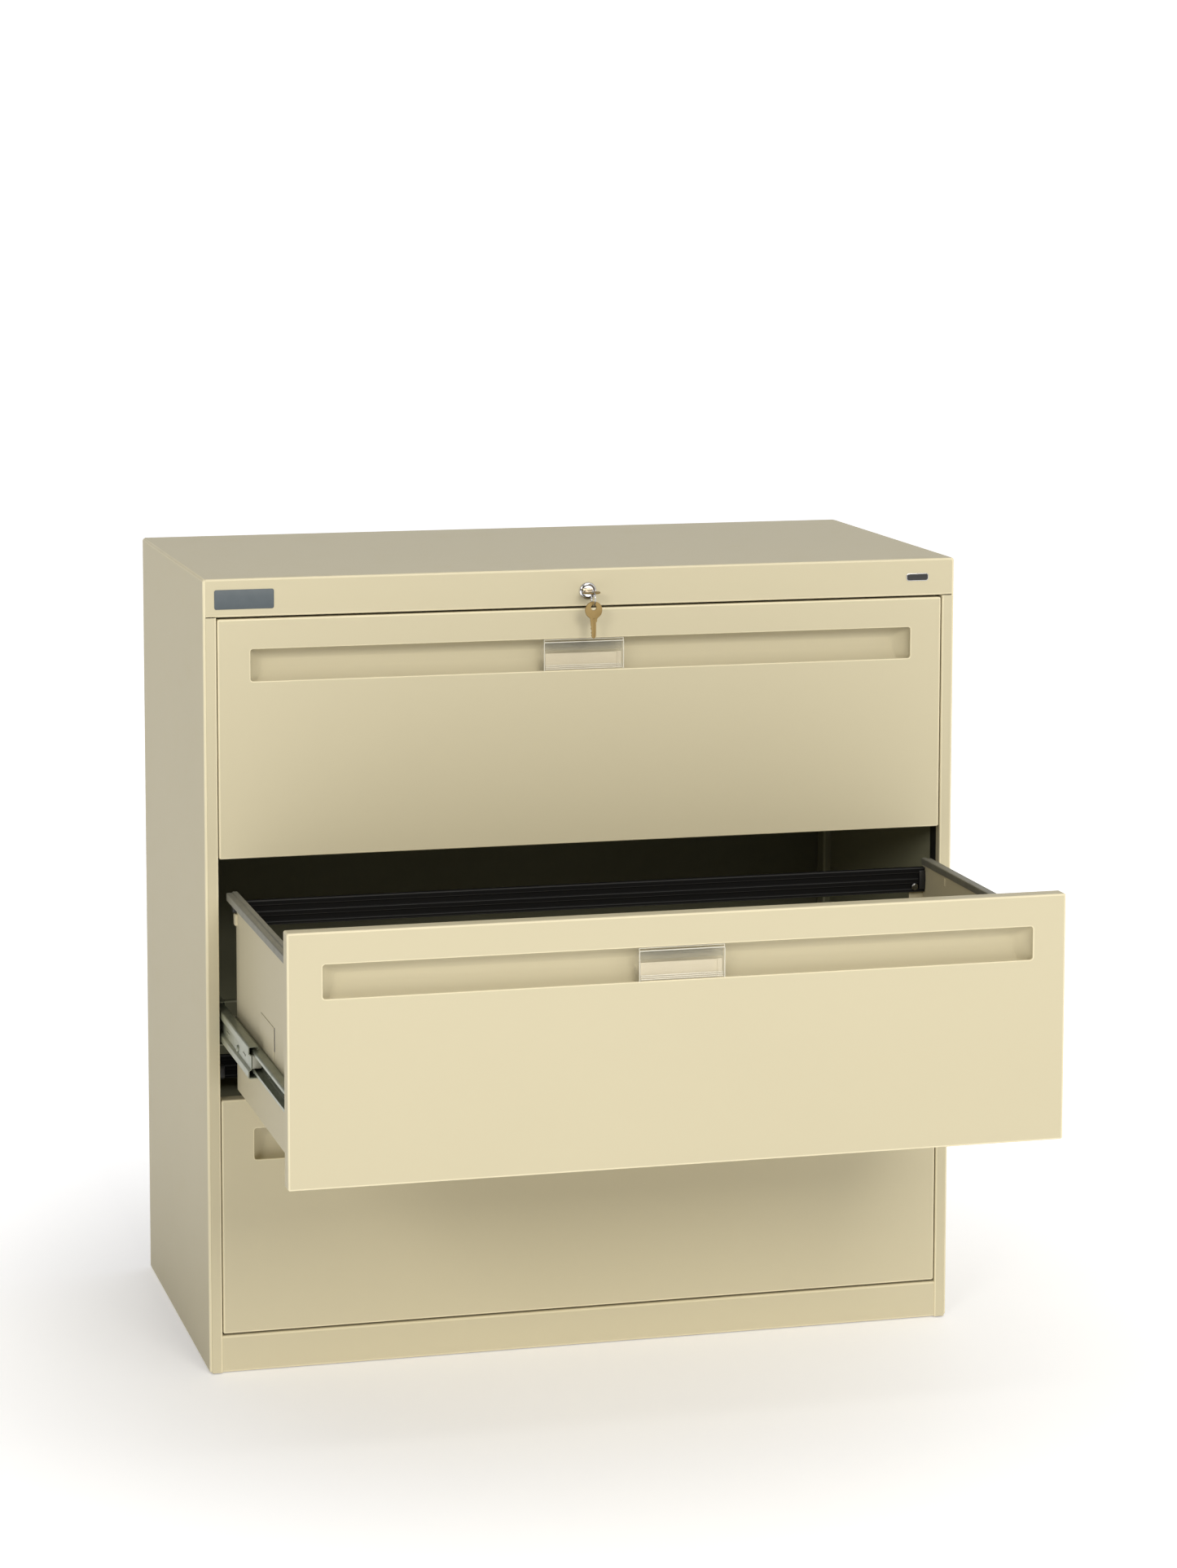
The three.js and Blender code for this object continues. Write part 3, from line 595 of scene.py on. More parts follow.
# %% Side panels and posts
def side_panel(hand, side):
    """A pan that is rounded into all four edges, a narrow post folded inwards below the header, and a flange
    at the rear."""
    y0, y1 = case_front, side_high[1]
    z0, z1 = side_low[2], case_top
    outer, sheet = side * half_width, case_sheet
    middle = (z0 + z1) / 2

    def ring(inset, radius, depth):
        return (y0 + inset, y1 - inset, z0 + inset, z1 - inset, radius, outer - side * depth)

    angle = np.linspace(0, math.pi / 2, 7)
    quarter = zip(edge_round * (1 - np.sin(angle)), edge_round * (1 - np.cos(angle)))
    line = (y0 + 8, y1 - 8, middle, middle, 0)
    rings = [(*line, outer), ring(edge_round + 0.4, 0.5, 0)]
    rings += [ring(i, 1.0 + edge_round - i, d) for i, d in quarter]
    rings += [ring(0, 4, edge_round + 0.2), ring(sheet, 3, edge_round + 0.2), ring(sheet, 3, sheet)]
    pan = ringed([*rings, (*line, outer - side * sheet)], "x", closed=False)
    corners = [
        (side * opening_half, case_front + 12),
        (side * opening_half, case_front),
        (side * (half_width - edge_round), case_front),
    ]
    post = folded(corners, -side * sheet, "z", z0, header_bottom - 0.35, bend=0.6)
    near, far = sorted((side * opening_half, side * (half_width - 1.5)))
    rear = slab(near, far, z0, z1 - 2, y1 - sheet, y1)
    piece(f"side_shell_{hand}", [pan, post, rear], putty, "case", [f"side_panel_{hand}"])


hands = (("left", -1), ("right", 1))
for hand, side in hands:
    side_panel(hand, side)
print("side panels:", len(hands), "with posts", round(half_width - opening_half, 1), "mm wide")

# %% Top sheet with the header, base strip and floor
header_return = 15.0
top_path = [
    (case_front + header_return, header_bottom + 7),
    (case_front + header_return, header_bottom),
    (case_front, header_bottom),
    (case_front, case_top),
    (case_back, case_top),
]
piece(
    "top_and_header",
    [folded(top_path, -case_sheet, "x", top_low[0], top_high[0], bend=1.2, steps=8)],
    putty,
    "case",
    ["top_panel"],
)
floor_height = 45.5
base_path = [
    (case_front + 14, base_low[2]),
    (case_front, base_low[2]),
    (case_front, floor_height),
    (base_high[1] - case_sheet, floor_height),
    (base_high[1] - case_sheet, base_high[2]),
]
piece(
    "base_strip_and_floor",
    [folded(base_path, -case_sheet, "x", base_low[0], base_high[0], bend=1.2, steps=8)],
    putty,
    "case",
    ["base_panel"],
)
print("header", round(case_top - header_bottom, 1), "mm high, case floor at", floor_height, "mm")

# %% [markdown]
# The back is one sheet, spot welded round its rim. A shallow pressed field and two upright beads stop it
# drumming. Each weld leaves a small round dent, made here as a low ring turned about its own axis.

# %% Back sheet
def back_sheet():
    """Rings from the middle of the outer face: the field, its step up to the rim, the rounded edge, and the
    inside. The step is an arc of four rings."""
    low, high = box_mm("back_panel")
    y = high[1]
    middle = (low[2] + high[2]) / 2

    def ring(inset, depth, radius=2.0):
        return (low[0] + inset, high[0] - inset, low[2] + inset, high[2] - inset, radius, depth)

    line = (low[0] + 300, high[0] - 300, middle, middle, 0)
    step = ((34, 0.75, 14.0), (31.5, 0.7, 15.0), (28.5, 0.05, 16.0), (26, 0, 17.0))
    rings = [(*line, y - 0.75), *(ring(inset, y - sunk, radius) for inset, sunk, radius in step)]
    inside = low[1] + 0.1
    rings += [ring(0.8, y), ring(0.3, y - 0.15), ring(0, y - 0.5), ring(0, inside), (*line, inside)]
    sheet = ringed(rings, closed=False)
    beads = [slab(x - 9, x + 9, 70, 870, y - 1.1, y - 0.05, "y", 8.5, 0.9) for x in (-152.0, 152.0)]
    dent = [(4.0, 0.0), (3.4, 0.22), (2.6, 0.24), (1.6, 0.06), (0, 0.04), (0, -0.1), (4.0, -0.1), (4.0, 0.0)]
    welds = [(x, z) for x in (-444.0, 444.0) for z in np.linspace(60, 880, 9)]
    welds += [(x, z) for x in np.linspace(-370, 370, 7) for z in (14.0, 926.0)]
    dents = [turned(dent, (x, y + 0.02, z), "y", 16) for x, z in welds]
    piece("back_sheet", [sheet, *beads, *dents], putty, "case", ["back_panel"])
    return len(welds)


print("spot welds on the back:", back_sheet())

# %% [markdown]
# ## Drawer fronts
# Each front is a shallow pan pressed from one sheet. Its edges roll back at a radius of two millimetres
# and the window's edge rolls in, so light catches both. One stack of rings makes the pan: from the back
# edge of the return, round to the face, in through the window, and back along the inside.

# %% Drawer measures
levels = ("lower", "middle", "upper")
front_round = 2.0
window_drop = 35.5
window_height = 37.5
window_margin = 38.7


def drawer_measures(level):
    """Corners of the front, and of its finger window, in millimetres."""
    low, high = box_mm(f"{level}_drawer_front")
    window = (
        low[0] + window_margin,
        high[0] - window_margin,
        high[2] - window_drop - window_height,
        high[2] - window_drop,
    )
    return low, high, window


def drawer_front(level):
    """The pan of one front: rings of the outside from back to face, then the window's rolled edge, then the
    inside."""
    low, high, (wx0, wx1, wz0, wz1) = drawer_measures(level)
    y0, y1 = low[1], high[1]
    roll, window_roll, sheet = front_round, 1.2, drawer_sheet
    angle = np.linspace(0, math.pi / 2, 7)

    def outside(inset, depth):
        radius = max(2.4 - inset, 0.4)
        return (low[0] + inset, high[0] - inset, low[2] + inset, high[2] - inset, radius, depth)

    def inside_window(grow, depth):
        return (wx0 - grow, wx1 + grow, wz0 - grow, wz1 + grow, 3.0 + grow, depth)

    rings = [outside(0, y1), outside(0, y0 + roll + 0.3)]
    rings += [outside(roll * (1 - math.cos(a)), y0 + roll * (1 - math.sin(a))) for a in angle]
    rings += [outside(roll + 0.3, y0), inside_window(window_roll + 0.3, y0)]
    rings += [
        inside_window(window_roll * (1 - math.sin(a)), y0 + window_roll * (1 - math.cos(a))) for a in angle
    ]
    rings += [inside_window(0, y0 + 2.6), inside_window(0.9, y0 + 2.6), inside_window(0.9, y0 + 1.4)]
    rings += [inside_window(1.6, y0 + sheet), outside(roll + 1.2, y0 + sheet)]
    rings += [outside(sheet, y0 + roll + 0.6), outside(sheet, y1)]
    piece(
        f"{level}_front_pan",
        [ringed(rings)],
        putty,
        f"{level}_drawer",
        [f"{level}_drawer_front"],
    )


for level in levels:
    drawer_front(level)
print("finger window", np.round(np.diff(drawer_measures("lower")[2])[::2], 1).tolist(), "mm")

# %% [markdown]
# ## Finger pulls
# Behind each window a trough is welded on. Its roof slopes down to a rounded back, its floor drops behind
# the window's lower edge so that fingers can hook it, and both ends splay inwards.

# %% Pull channels
def pull_channel(level):
    """The trough as rings that go back: the roof follows a quarter ellipse, the ends draw in, and the floor
    drops into a pocket behind the front, then climbs steeply to a bend in the back wall."""
    low, _, (wx0, wx1, wz0, wz1) = drawer_measures(level)
    y0 = low[1] + 1.3
    depth, pocket, splay, bend_height = 23.0, 11.0, 17.0, 13.0
    sheet = drawer_sheet
    shares = np.linspace(0, 1, 13)

    def trough(grow, share):
        back = y0 + depth * share - (sheet - grow if share > 0.99 else 0)
        roof = wz1 + 0.4 + grow - 17.0 * (1 - np.sqrt(1 - 0.98 * share**2))
        drop = pocket * min(1.0, 3.2 * share) ** 0.6
        rise = (pocket + bend_height) * max(0.0, (share - 0.72) / 0.28)
        floor_z = wz0 - 0.4 - grow - drop + rise
        draw = splay * share**2
        return (wx0 - grow + draw, wx1 + grow - draw, floor_z, roof, 4.0, back)

    inner = [trough(0.0, share) for share in shares]
    outer = [trough(sheet, share) for share in shares]
    u0, u1, v0, v1, _, back = inner[-1]
    line = (u0 + 4, u1 - 4, (v0 + v1) / 2, (v0 + v1) / 2, 0)
    flange = 9.0
    lip = (wx0 - flange, wx1 + flange, wz0 - pocket - flange, wz1 + flange, 4.0)
    rings = [(*line, back), (u0 + 0.5, u1 - 0.5, v0 + 0.5, v1 - 0.5, 3.5, back), *inner[::-1]]
    rings += [(*lip, y0), (*lip, y0 + sheet)]
    rings += [(*ring[:5], max(ring[5], y0 + sheet)) for ring in outer]
    rings += [(u0 - sheet + 4, u1 + sheet - 4, (v0 + v1) / 2, (v0 + v1) / 2, 0, outer[-1][5])]
    piece(
        f"{level}_finger_trough",
        [ringed(rings, closed=False)],
        putty,
        f"{level}_drawer",
        [f"{level}_pull_channel"],
        smooth=50.0,
    )


for level in levels:
    pull_channel(level)
print("finger troughs:", len(levels))

# %% [markdown]
# ## Drawer sides
# A drawer side is one sheet with its front and rear edges turned inwards for spot welds. Hanging folders
# ride on a separate grey rail, rolled like a cap over the sheet's top edge. Made as two pieces, each gets
# its own metal.

# %% Drawer sides and folder rails
side_face = 421.7
side_bottom = 10.5
side_top = 244.5
rail_zone = 203.0
drawer_depth = 420.0


def drawer_origin(level):
    """Depth of the front's face and height of its lower edge, in millimetres."""
    low, _ = box_mm(f"{level}_drawer_front")
    return low[1], low[2]


def bar(side, u0, u1, v0, v1, w0, w1, corner=0.5, edge=0.3):
    """A small softened block: |x| from u0 to u1 on one hand, y from v0 to v1, z from w0 to w1."""
    low, high = sorted((side * u0, side * u1))
    return slab(v0, v1, w0, w1, low, high, "x", corner, edge)


def drawer_side(level, hand, side):
    """A sheet whose section in plan is a shallow channel, with a plain strip over it where the cross rails
    pass, then the rolled rail on its top edge and the black clip at its rear."""
    y, z = drawer_origin(level)
    plan = [
        (side * 411, y + 2.4),
        (side * side_face, y + 2.4),
        (side * side_face, y + drawer_depth),
        (side * 403.5, y + drawer_depth),
    ]
    wall = folded(plan, side * drawer_sheet, "z", z + side_bottom, z + rail_zone, bend=0.8)
    straight = [(side * side_face, y + 2.4), (side * side_face, y + drawer_depth)]
    strip = folded(straight, side * drawer_sheet, "z", z + rail_zone, z + side_top - 2)

    def block(out0, out1, y_from, y_to, z_from, z_to, corner, edge):
        out = (side_face + out0, side_face + out1)
        return bar(side, *out, y + y_from, y + y_to, z + z_from, z + z_to, corner, edge)

    step = block(-0.2, 0.7, 181, 262, 97, 137, 3.0, 0.6)
    lance = block(-1.9, 0.9, 339, 341.5, 224.5, 233.5, 0.8, 0.4)
    tab = block(-1.0, 3.0, 409, 419.5, 206, 219.5, 1.5, 0.8)
    piece(
        f"{level}_side_sheet_{hand}",
        [wall, strip, step, lance, tab],
        putty,
        f"{level}_drawer",
        [f"{level}_drawer_side_{hand}"],
    )
    section = [
        (side * 419.4, z + 236.5),
        (side * 419.4, z + side_top),
        (side * 425.2, z + side_top),
        (side * 426.4, z + side_top - 1.3),
        (side * 432.7, z + side_top - 1.3),
        (side * 432.7, z + 233.5),
        (side * 427.5, z + 233.5),
    ]
    rail = folded(section, -side * drawer_sheet, "y", y + 3.0, y + drawer_depth, bend=0.45)
    piece(f"{level}_folder_rail_{hand}", [rail], rail_steel, f"{level}_drawer", smooth=50.0)
    # This black patch stands for a slot in the side; its black is painted shade, the dark seen through the
    # opening.
    slot_shade = block(-0.2, 0.12, 176, 180.5, 110, 137.5, 1.5, 0.1)
    clip = block(0.3, 5.5, 408, 418.5, 221, 231.5, 3.0, 1.2)
    hook = block(-9, -1.2, 408.4, 409.8, 208, 231, 2.0, 0.5)
    clip_parts = [slot_shade, clip, hook]
    piece(f"{level}_rail_clip_{hand}", clip_parts, black_plastic, f"{level}_drawer")


for level in levels:
    for hand, side in hands:
        drawer_side(level, hand, side)
print("drawer sides:", len(levels) * len(hands))

# %% [markdown]
# ## Cross rails
# Two black rails run across each drawer for folders that hang the other way. They are roll-formed with
# three lengthwise ribs for stiffness, and each end is held by one screw.

# %% Ribbed cross rails and their screws
def screw_head(centre, axis, outward, radius=4.2, height=1.7):
    """A pan head: a dome over a short rim, with a small recess turned into its middle."""
    shape = [(0, 0.75), (0.22, 0.75), (0.28, 0.96), (0.45, 1.0), (0.7, 0.9), (0.88, 0.68)]
    shape += [(0.98, 0.36), (1.0, 0.1), (1.0, -0.2), (0, -0.2)]
    return turned([(r * radius, outward * h * height) for r, h in shape], centre, axis, sides=24)


def cross_rail(level, end, face, facing):
    """An inverted channel; its face carries ribs that stand back and forth by a millimetre."""
    y, z = drawer_origin(level)
    face_y, back = y + face, facing * 9.0
    heights = (228.5, 227.2, 222.2, 220.9, 215.9, 214.6, 209.6, 208.3)
    depths = (0, 1.2, 1.2, 0, 0, 1.2, 1.2, 0)
    section = [(face_y + back, z + 214), (face_y + back, z + 234.5), (face_y, z + 234.5)]
    section += [(face_y + facing * d, z + h) for d, h in zip(depths, heights)]
    section += [(face_y, z + 204.5), (face_y + facing * 6, z + 204.5)]
    rail = folded(section, facing * drawer_sheet, "x", -420.2, 420.2, bend=0.3, steps=3)
    piece(
        f"{level}_{end}_ribbed_rail",
        [rail],
        black_paint,
        f"{level}_drawer",
        [f"{level}_{end}_rail"],
    )
    heads = [screw_head((x, face_y, z + 211.5), "y", -facing, 4.6, 2.0) for x in (-407.5, 407.5)]
    piece(f"{level}_{end}_rail_screws", heads, plug_nickel, f"{level}_drawer")


for level in levels:
    cross_rail(level, "rear", 410.0, 1)
    cross_rail(level, "front", 36.6, -1)
print("cross rails:", 2 * len(levels))

# %% [markdown]
# ## Telescopic slides
# Each slide has three steel members that nest. The largest is fixed to the case, the middle one floats,
# and the smallest is fixed to the drawer. Their tracks hold rows of balls. The middle member's web is set
# back from its tracks, which gives it the stepped outline seen at its front end, and a cream plastic block
# there holds the balls.

# %% Slide members
slide_sheet = 1.2


def slide_member(level, member, hand, side, section, inwards):
    """A roll-formed section carried along the slide. Its place and length come from the model, and inwards is
    the sign of the side on which its thickness lies."""
    low, high = box_mm(f"{level}_slide_{member}_member_{hand}")
    centre = (low[2] + high[2]) / 2
    outline = [(side * u, centre + v) for u, v in section]
    rail = folded(outline, inwards * side * slide_sheet, "y", low[1], high[1], bend=0.9, steps=5)
    return low[1], high[1], centre, rail


def both_halves(upper):
    """A section given by its upper half, from the lip down to the middle, and its mirror image below."""
    return upper + [(u, -v) for u, v in upper[::-1]]


case_section = both_halves([(431, 21.5), (431, 26), (443, 26)])
middle_section = both_halves([(428, 14.4), (428, 18.5), (440, 18.5), (440, 9.5), (436.8, 7.2)])
drawer_section = both_halves([(434, 8.4), (434, 13), (422, 13)])


def ball(centre, radius):
    """A small sphere: radius times sine and cosine of height, in six rings of eight."""
    tilt = np.linspace(-math.pi / 2, math.pi / 2, 7)
    profile = list(zip(radius * np.cos(tilt), radius * np.sin(tilt)))
    return turned(profile, centre, "y", sides=8)


def slide(level, hand, side):
    """Three members, two rows of balls in each gap, the retainer, rivets and punched details."""
    node = f"{level}_slide_{{}}_member_{hand}"
    front, _, centre, rail = slide_member(level, "case", hand, side, case_section, -1)
    screws = [screw_head((side * 441.8, front + d, centre), "x", -side, 4.0, 1.0) for d in (34, 170, 306)]
    piece(f"{level}_case_rail_{hand}", [rail, *screws], zinc, "case", [node.format("case")])

    def block(u0, u1, from_front, to_front, below, above, corner, edge):
        """A bar placed from the front end and the middle line of the member that is being made."""
        ends = (front + from_front, front + to_front)
        return bar(side, u0, u1, *ends, centre + below, centre + above, corner, edge)

    front, rear, centre, rail = slide_member(level, "middle", hand, side, middle_section, -1)
    body = f"{level}_slide_extension"
    rivet_places = [(side * 436.8, front + d, centre - 3.0) for d in (84, 205, 330)]
    rivets = [screw_head(place, "x", side, 4.4, 2.1) for place in rivet_places]
    dimples = [block(436.7, 437.5, d, d + 16, -1.2, 1.2, 1.1, 0.5) for d in (36, 140, 262)]
    middle_parts = [rail, *rivets, *dimples]
    piece(f"{level}_middle_rail_{hand}", middle_parts, zinc, body, [node.format("middle")])
    retainer = block(424.6, 435.3, 0.3, 15, -7.6, 7.6, 1.6, 0.8)
    spring = block(424.7, 427.5, 3, 40, -4.5, 4.5, 1.0, 0.6)
    piece(f"{level}_ball_retainer_{hand}", [retainer, spring], cream_plastic, body)
    rows = [(k, e) for k in range(9) for e in (-1, 1)]
    inner = [ball((side * 431.4, front + 14 + 9 * k, centre + e * 15.15), 1.95) for k, e in rows]
    outer = [ball((side * 436.4, rear - 14 - 12 * k, centre + e * 21.6), 2.9) for k, e in rows]
    piece(f"{level}_slide_balls_{hand}", [*inner, *outer], chrome, body)

    front, _, centre, rail = slide_member(level, "drawer", hand, side, drawer_section, 1)
    web = 423.1
    head_rows = ((11, -4, 2.6), (31, -6, 2.0), (108, -2, 3.0), (230, -2, 3.0), (352, -2, 3.0))
    heads = [screw_head((side * web, front + d, centre + h), "x", side, r, 1.2) for d, h, r in head_rows]
    lance_rows = ((28, 32, -1, 7.5), (59, 61.5, -8, 5.5), (84, 100, -9.0, -6.6), (170, 186, -9.0, -6.6))
    lances = [block(web - 0.2, web + 1.3, *row, 0.7, 0.4) for row in lance_rows]
    parts, body = [rail, *heads, *lances], f"{level}_drawer"
    piece(f"{level}_drawer_rail_{hand}", parts, zinc, body, [node.format("drawer")])
    # Black patches stand for the punched holes in the web; their black is painted shade, the dark seen
    # through each hole.
    hole_rows = ((36, 44, -4, 4), (62, 66, -7.5, 5.5), (130, 142, -3, 3), (260, 272, -3, 3))
    holes = [block(web - 0.3, web + 0.1, *row, 1.2, 0.05) for row in hole_rows]
    piece(f"{level}_rail_hole_shade_{hand}", holes, black_plastic, body)


for level in levels:
    for hand, side in hands:
        slide(level, hand, side)
print("slides:", len(levels) * len(hands))

# %% [markdown]
# ## Inside the case
# The inner side walls carry the slides and are painted dark. A black strip fills the gap behind each post,
# a rubber bumper meets each drawer low on the wall, and braces cross the back wall between the drawers.
# The back wall and its braces are painted darker still, as painted shade in the deep case.

# %% Inner walls, braces and bumpers
def inside_wall(hand, side):
    """The liner as a channel in plan, a rear upright, a black front strip, and a bumper for each drawer."""
    face, y0, y1 = 443.3, liner_low[1], liner_high[1]
    z0, z1 = liner_low[2], liner_high[2]
    plan = [(side * 455, y0), (side * face, y0), (side * face, y1), (side * 455, y1)]
    wall = folded(plan, -side, "z", z0, z1, bend=1.0)
    upright_plan = [(side * (face - 0.2), y1 - 26), (side * 435, y1 - 26), (side * 435, y1 - 2)]
    upright = folded(upright_plan, side, "z", z0 + 4, z1 - 4, bend=1.5)
    liner = [f"slide_liner_{hand}"]
    piece(f"inner_wall_{hand}", [wall, upright], interior, "case", liner)
    strip = bar(side, face - 0.25, face - 0.02, y0 + 0.4, y0 + 23.0, z0 + 1, z1 - 1, 0.2, 0.02)
    reach = (case_front + 20.8, case_front + 34)
    feet = [drawer_origin(level)[1] + 17 for level in levels]
    bumpers = [bar(side, 432.5, face - 0.3, *reach, z, z + 17, 4.0, 1.6) for z in feet]
    piece(f"gap_strip_{hand}", [strip, *bumpers], black_plastic, "case")


for hand, side in hands:
    inside_wall(hand, side)

# The lining is a dark sheet just inside the back wall, and its colour is painted shade.
back_shade_lining = slab(-441, 441, 47.5, 893, case_back - 2.6, case_back - 1.6, "y", 1.0, 0.2)
brace_back, brace_face = case_back - 2.8, case_back - 11.8
braces = []
for level in levels[1:]:
    _, z = drawer_origin(level)
    section = [(brace_back, z + 14), (brace_face, z + 14), (brace_face, z - 8), (brace_back, z - 8)]
    braces.append(folded(section, 1.0, "x", -428, 428, bend=1.2))
piece("back_shade_lining", [back_shade_lining, *braces], back_shade_paint, "case")
print("braces:", len(braces))

# %% [markdown]
# ## Label holders
# A label holder is a clear moulded box without a back, clipped into the window. Light gathers in the edges
# of clear plastic, so its faces are nearly invisible and its rims bright. The rims are a piece of their own,
# painted pale and half opaque: a painted highlight for that light.

# %% Label holders
def label_holder(level):
    """The clear box as rings, its rims and ribs as thin bars with a painted highlight, a card behind, and a
    dark strip of painted shade above the card."""
    y, z = drawer_origin(level)
    body, slot = f"{level}_drawer", "clear_plastic"
    x0, x1 = -53.0, 45.0
    z0, z1 = z + 200.6, z + 240.8
    middle = (z0 + z1) / 2
    box_depth = 17

    def ring(inset, depth, drop=0.0):
        radius = max(1.6 - inset, 0.3)
        return (x0 + inset, x1 - inset, z0 + inset, z1 - inset - drop, radius, y + depth)

    line = (x0 + 9, x1 - 9, middle, middle, 0)
    rings = [ring(0, box_depth, 8.0), ring(0, 2.0), ring(0.3, 1.0), ring(1.4, 0.5)]
    rings += [(*line, y + 0.5), (*line, y + 1.6)]
    rings += [ring(1.8, 1.6), ring(1.0, 2.6), ring(1.0, box_depth, 8.0)]
    piece(f"{level}_label_window", [ringed(rings)], clear_plastic, body, [f"{level}_label_holder"])

    def strip(u0, u1, v0, v1, front, back, corner, edge):
        return slab(u0, u1, v0, v1, y + front, y + back, "y", corner, edge)

    # The rims, lip, ledge, posts and ribs are painted pale and half opaque: a painted highlight for the light
    # that clear plastic gathers at its edges.
    top_lip = strip(x0 + 0.5, x1 - 0.5, z1 + 2.2, z1 + 2.9, 1.4, 3.4, 0.3, 0.15)
    ledge = strip(x0 + 0.6, x1 - 0.6, z1 - 0.9, z1 + 0.2, 0.35, 1.3, 0.4, 0.2)
    rims = [strip(x, x + 0.9, z0 + 1, z1 - 0.6, 0.35, 1.3, 0.3, 0.15) for x in (x0 + 0.3, x1 - 1.2)]
    posts = [strip(x, x + 0.7, z1 - 0.5, z1 + 2.6, 1.4, 2.4, 0.2, 0.1) for x in (x0 + 0.4, x1 - 1.1)]
    rib_feet = [z + 208.6 + 2.1 * k for k in range(3)]
    ribs = [strip(x0 + 2.2, x1 - 2.2, foot, foot + 0.7, 0.2, 1.1, 0.3, 0.2) for foot in rib_feet]
    piece(f"{level}_label_rims", [top_lip, ledge, *rims, *posts, *ribs], rim_highlight_plastic, body)
    label = strip(x0 + 2.4, x1 - 4.6, z + 203, z + 227, 3.4, 3.8, 0.4, 0.1)
    label_end = strip(x1 - 8.6, x1 - 3.4, z + 204, z + 227.5, 2.6, 3.0, 0.4, 0.1)
    piece(f"{level}_label_card", [label, label_end], card, body)
    # This dark strip is painted shade: the shadow under the holder's top, seen through the clear box.
    fold = strip(x0 + 1.8, x1 - 1.8, z + 230.5, z + 239.4, 3.2, 3.9, 0.4, 0.1)
    piece(f"{level}_label_shade_strip", [fold], label_shade_plastic, body)


for level in levels:
    label_holder(level)
print("label holders:", len(levels))

# %% [markdown]
# ## Lock and keys
# The lock is a chrome cup round a dull nickel plug. The two keys are stamped from the same brass sheet:
# one sits in the lock with its bow lying flat, and the spare hangs face-on from a wire ring through both
# bows.

# %% Lock
lock_z = 913.5
bezel_shape = [(8.75, 3.0), (10.3, 0.4), (10.75, -0.3), (10.6, -1.4), (10.0, -2.6), (9.2, -3.3), (8.5, -3.5)]
bezel_shape += [(7.9, -3.2), (7.3, -2.3), (6.9, -1.2), (6.9, 12.0), (8.0, 12.0), (8.75, 12.0), (8.75, 3.0)]
bezel = turned(bezel_shape, (0, case_front, lock_z), "y", 64)
piece("lock_bezel", [bezel], chrome, "case", ["lock_housing"])
plug_shape = [(0, -0.9), (4.4, -0.9), (4.9, -0.6), (5.3, -0.9), (6.0, -0.9), (6.5, -0.4)]
plug_shape += [(6.5, 14.0), (0, 14.0)]
plug_face = turned(plug_shape, (0, case_front, lock_z), "y", 48)
lip_depths = (case_front - 1.2, case_front - 0.6)
lip_feet = (lock_z + 1.15, lock_z - 1.75)
keyway_lips = [slab(-4.6, 4.6, z, z + 0.6, *lip_depths, "y", 0.3, 0.1) for z in lip_feet]
piece("lock_plug_face", [plug_face, *keyway_lips], plug_nickel, "lock_plug")
print("lock at height", lock_z, "mm, bezel", 2 * max(radius for radius, _ in bezel_shape), "mm across")


# %% Keys
def key_parts(along, across, face, hole, thickness=1.8):
    """Two closed surfaces: a round bow with a hole, and the neck and blade. The bow's rings go from the hole
    out over the front, round the rim and back. The blade's half widths change along it, with cuts on one edge
    and a groove in each face."""
    along, across, face, hole = (np.array(v, float) for v in (along, across, face, hole))
    angle = np.linspace(0, 2 * math.pi, 72, endpoint=False)
    circle = np.stack([np.cos(angle), np.sin(angle)], 1)
    bow_centre = np.array([3.0, 0.0])
    half = thickness / 2
    rim = [(3.2, 0.0, half - 0.25), (3.5, 0.0, half), (9.2, 1.0, half)]
    rim += [(10.0, 1.0, half - 0.12), (10.4, 1.0, half - 0.55)]
    rim += [(radius, shift, -height) for radius, shift, height in rim[::-1]]
    bow = np.stack([radius * circle + shift * bow_centre for radius, shift, _ in rim])
    heights = np.array([height for _, _, height in rim])
    bow = np.concatenate([bow, np.broadcast_to(heights[:, None, None], (*bow.shape[:2], 1))], 2)

    neck = np.array([8.0, 9.5, 11, 12.2, 13.4, 14.2, 17.0])
    neck_half = np.array([9.2, 8.2, 6.6, 5.0, 4.3, 4.1, 4.0])
    cuts = np.array([17.01, 19, 21, *np.linspace(22.2, 33, 10), 34.2, 35.2, 36.0, 36.6])
    plain_edge = np.array([*[2.9] * 13, 2.7, 2.2, 1.5, 0.5])
    cut_edge = np.array([3.6, 3.6, 3.6, 2.9, 2.9, 3.6, 3.0, 2.4, 2.4, 3.3, 2.7, 2.0, 3.0, 2.4, 1.9, 1.2, 0.3])
    distance = np.concatenate([neck, cuts])
    left = np.concatenate([neck_half, plain_edge])
    right = np.concatenate([neck_half, cut_edge])
    share = np.array([-1, -0.85, -0.3, -0.18, 0.18, 0.3, 0.85, 1])
    groove = np.array([0.55, 1.0, 1.0, 0.45, 0.45, 1.0, 1.0, 0.55]) * (half - 0.05)
    wide = np.where(share[None] < 0, share[None] * left[:, None], share[None] * right[:, None])
    shape = wide.shape
    top = np.stack([np.broadcast_to(distance[:, None], shape), wide, np.broadcast_to(groove, shape)], 2)
    blade = np.concatenate([top, top[:, ::-1] * (1, 1, -1)], 1)
    middle = blade.mean(1, keepdims=True) + 0 * blade
    blade = np.concatenate([middle[:1], blade, middle[-1:]])

    def place(grid):
        return hole + grid[..., :1] * along + grid[..., 1:2] * across + grid[..., 2:] * face

    return [surface(place(bow)), surface(place(blade), wrap_rows=False)]


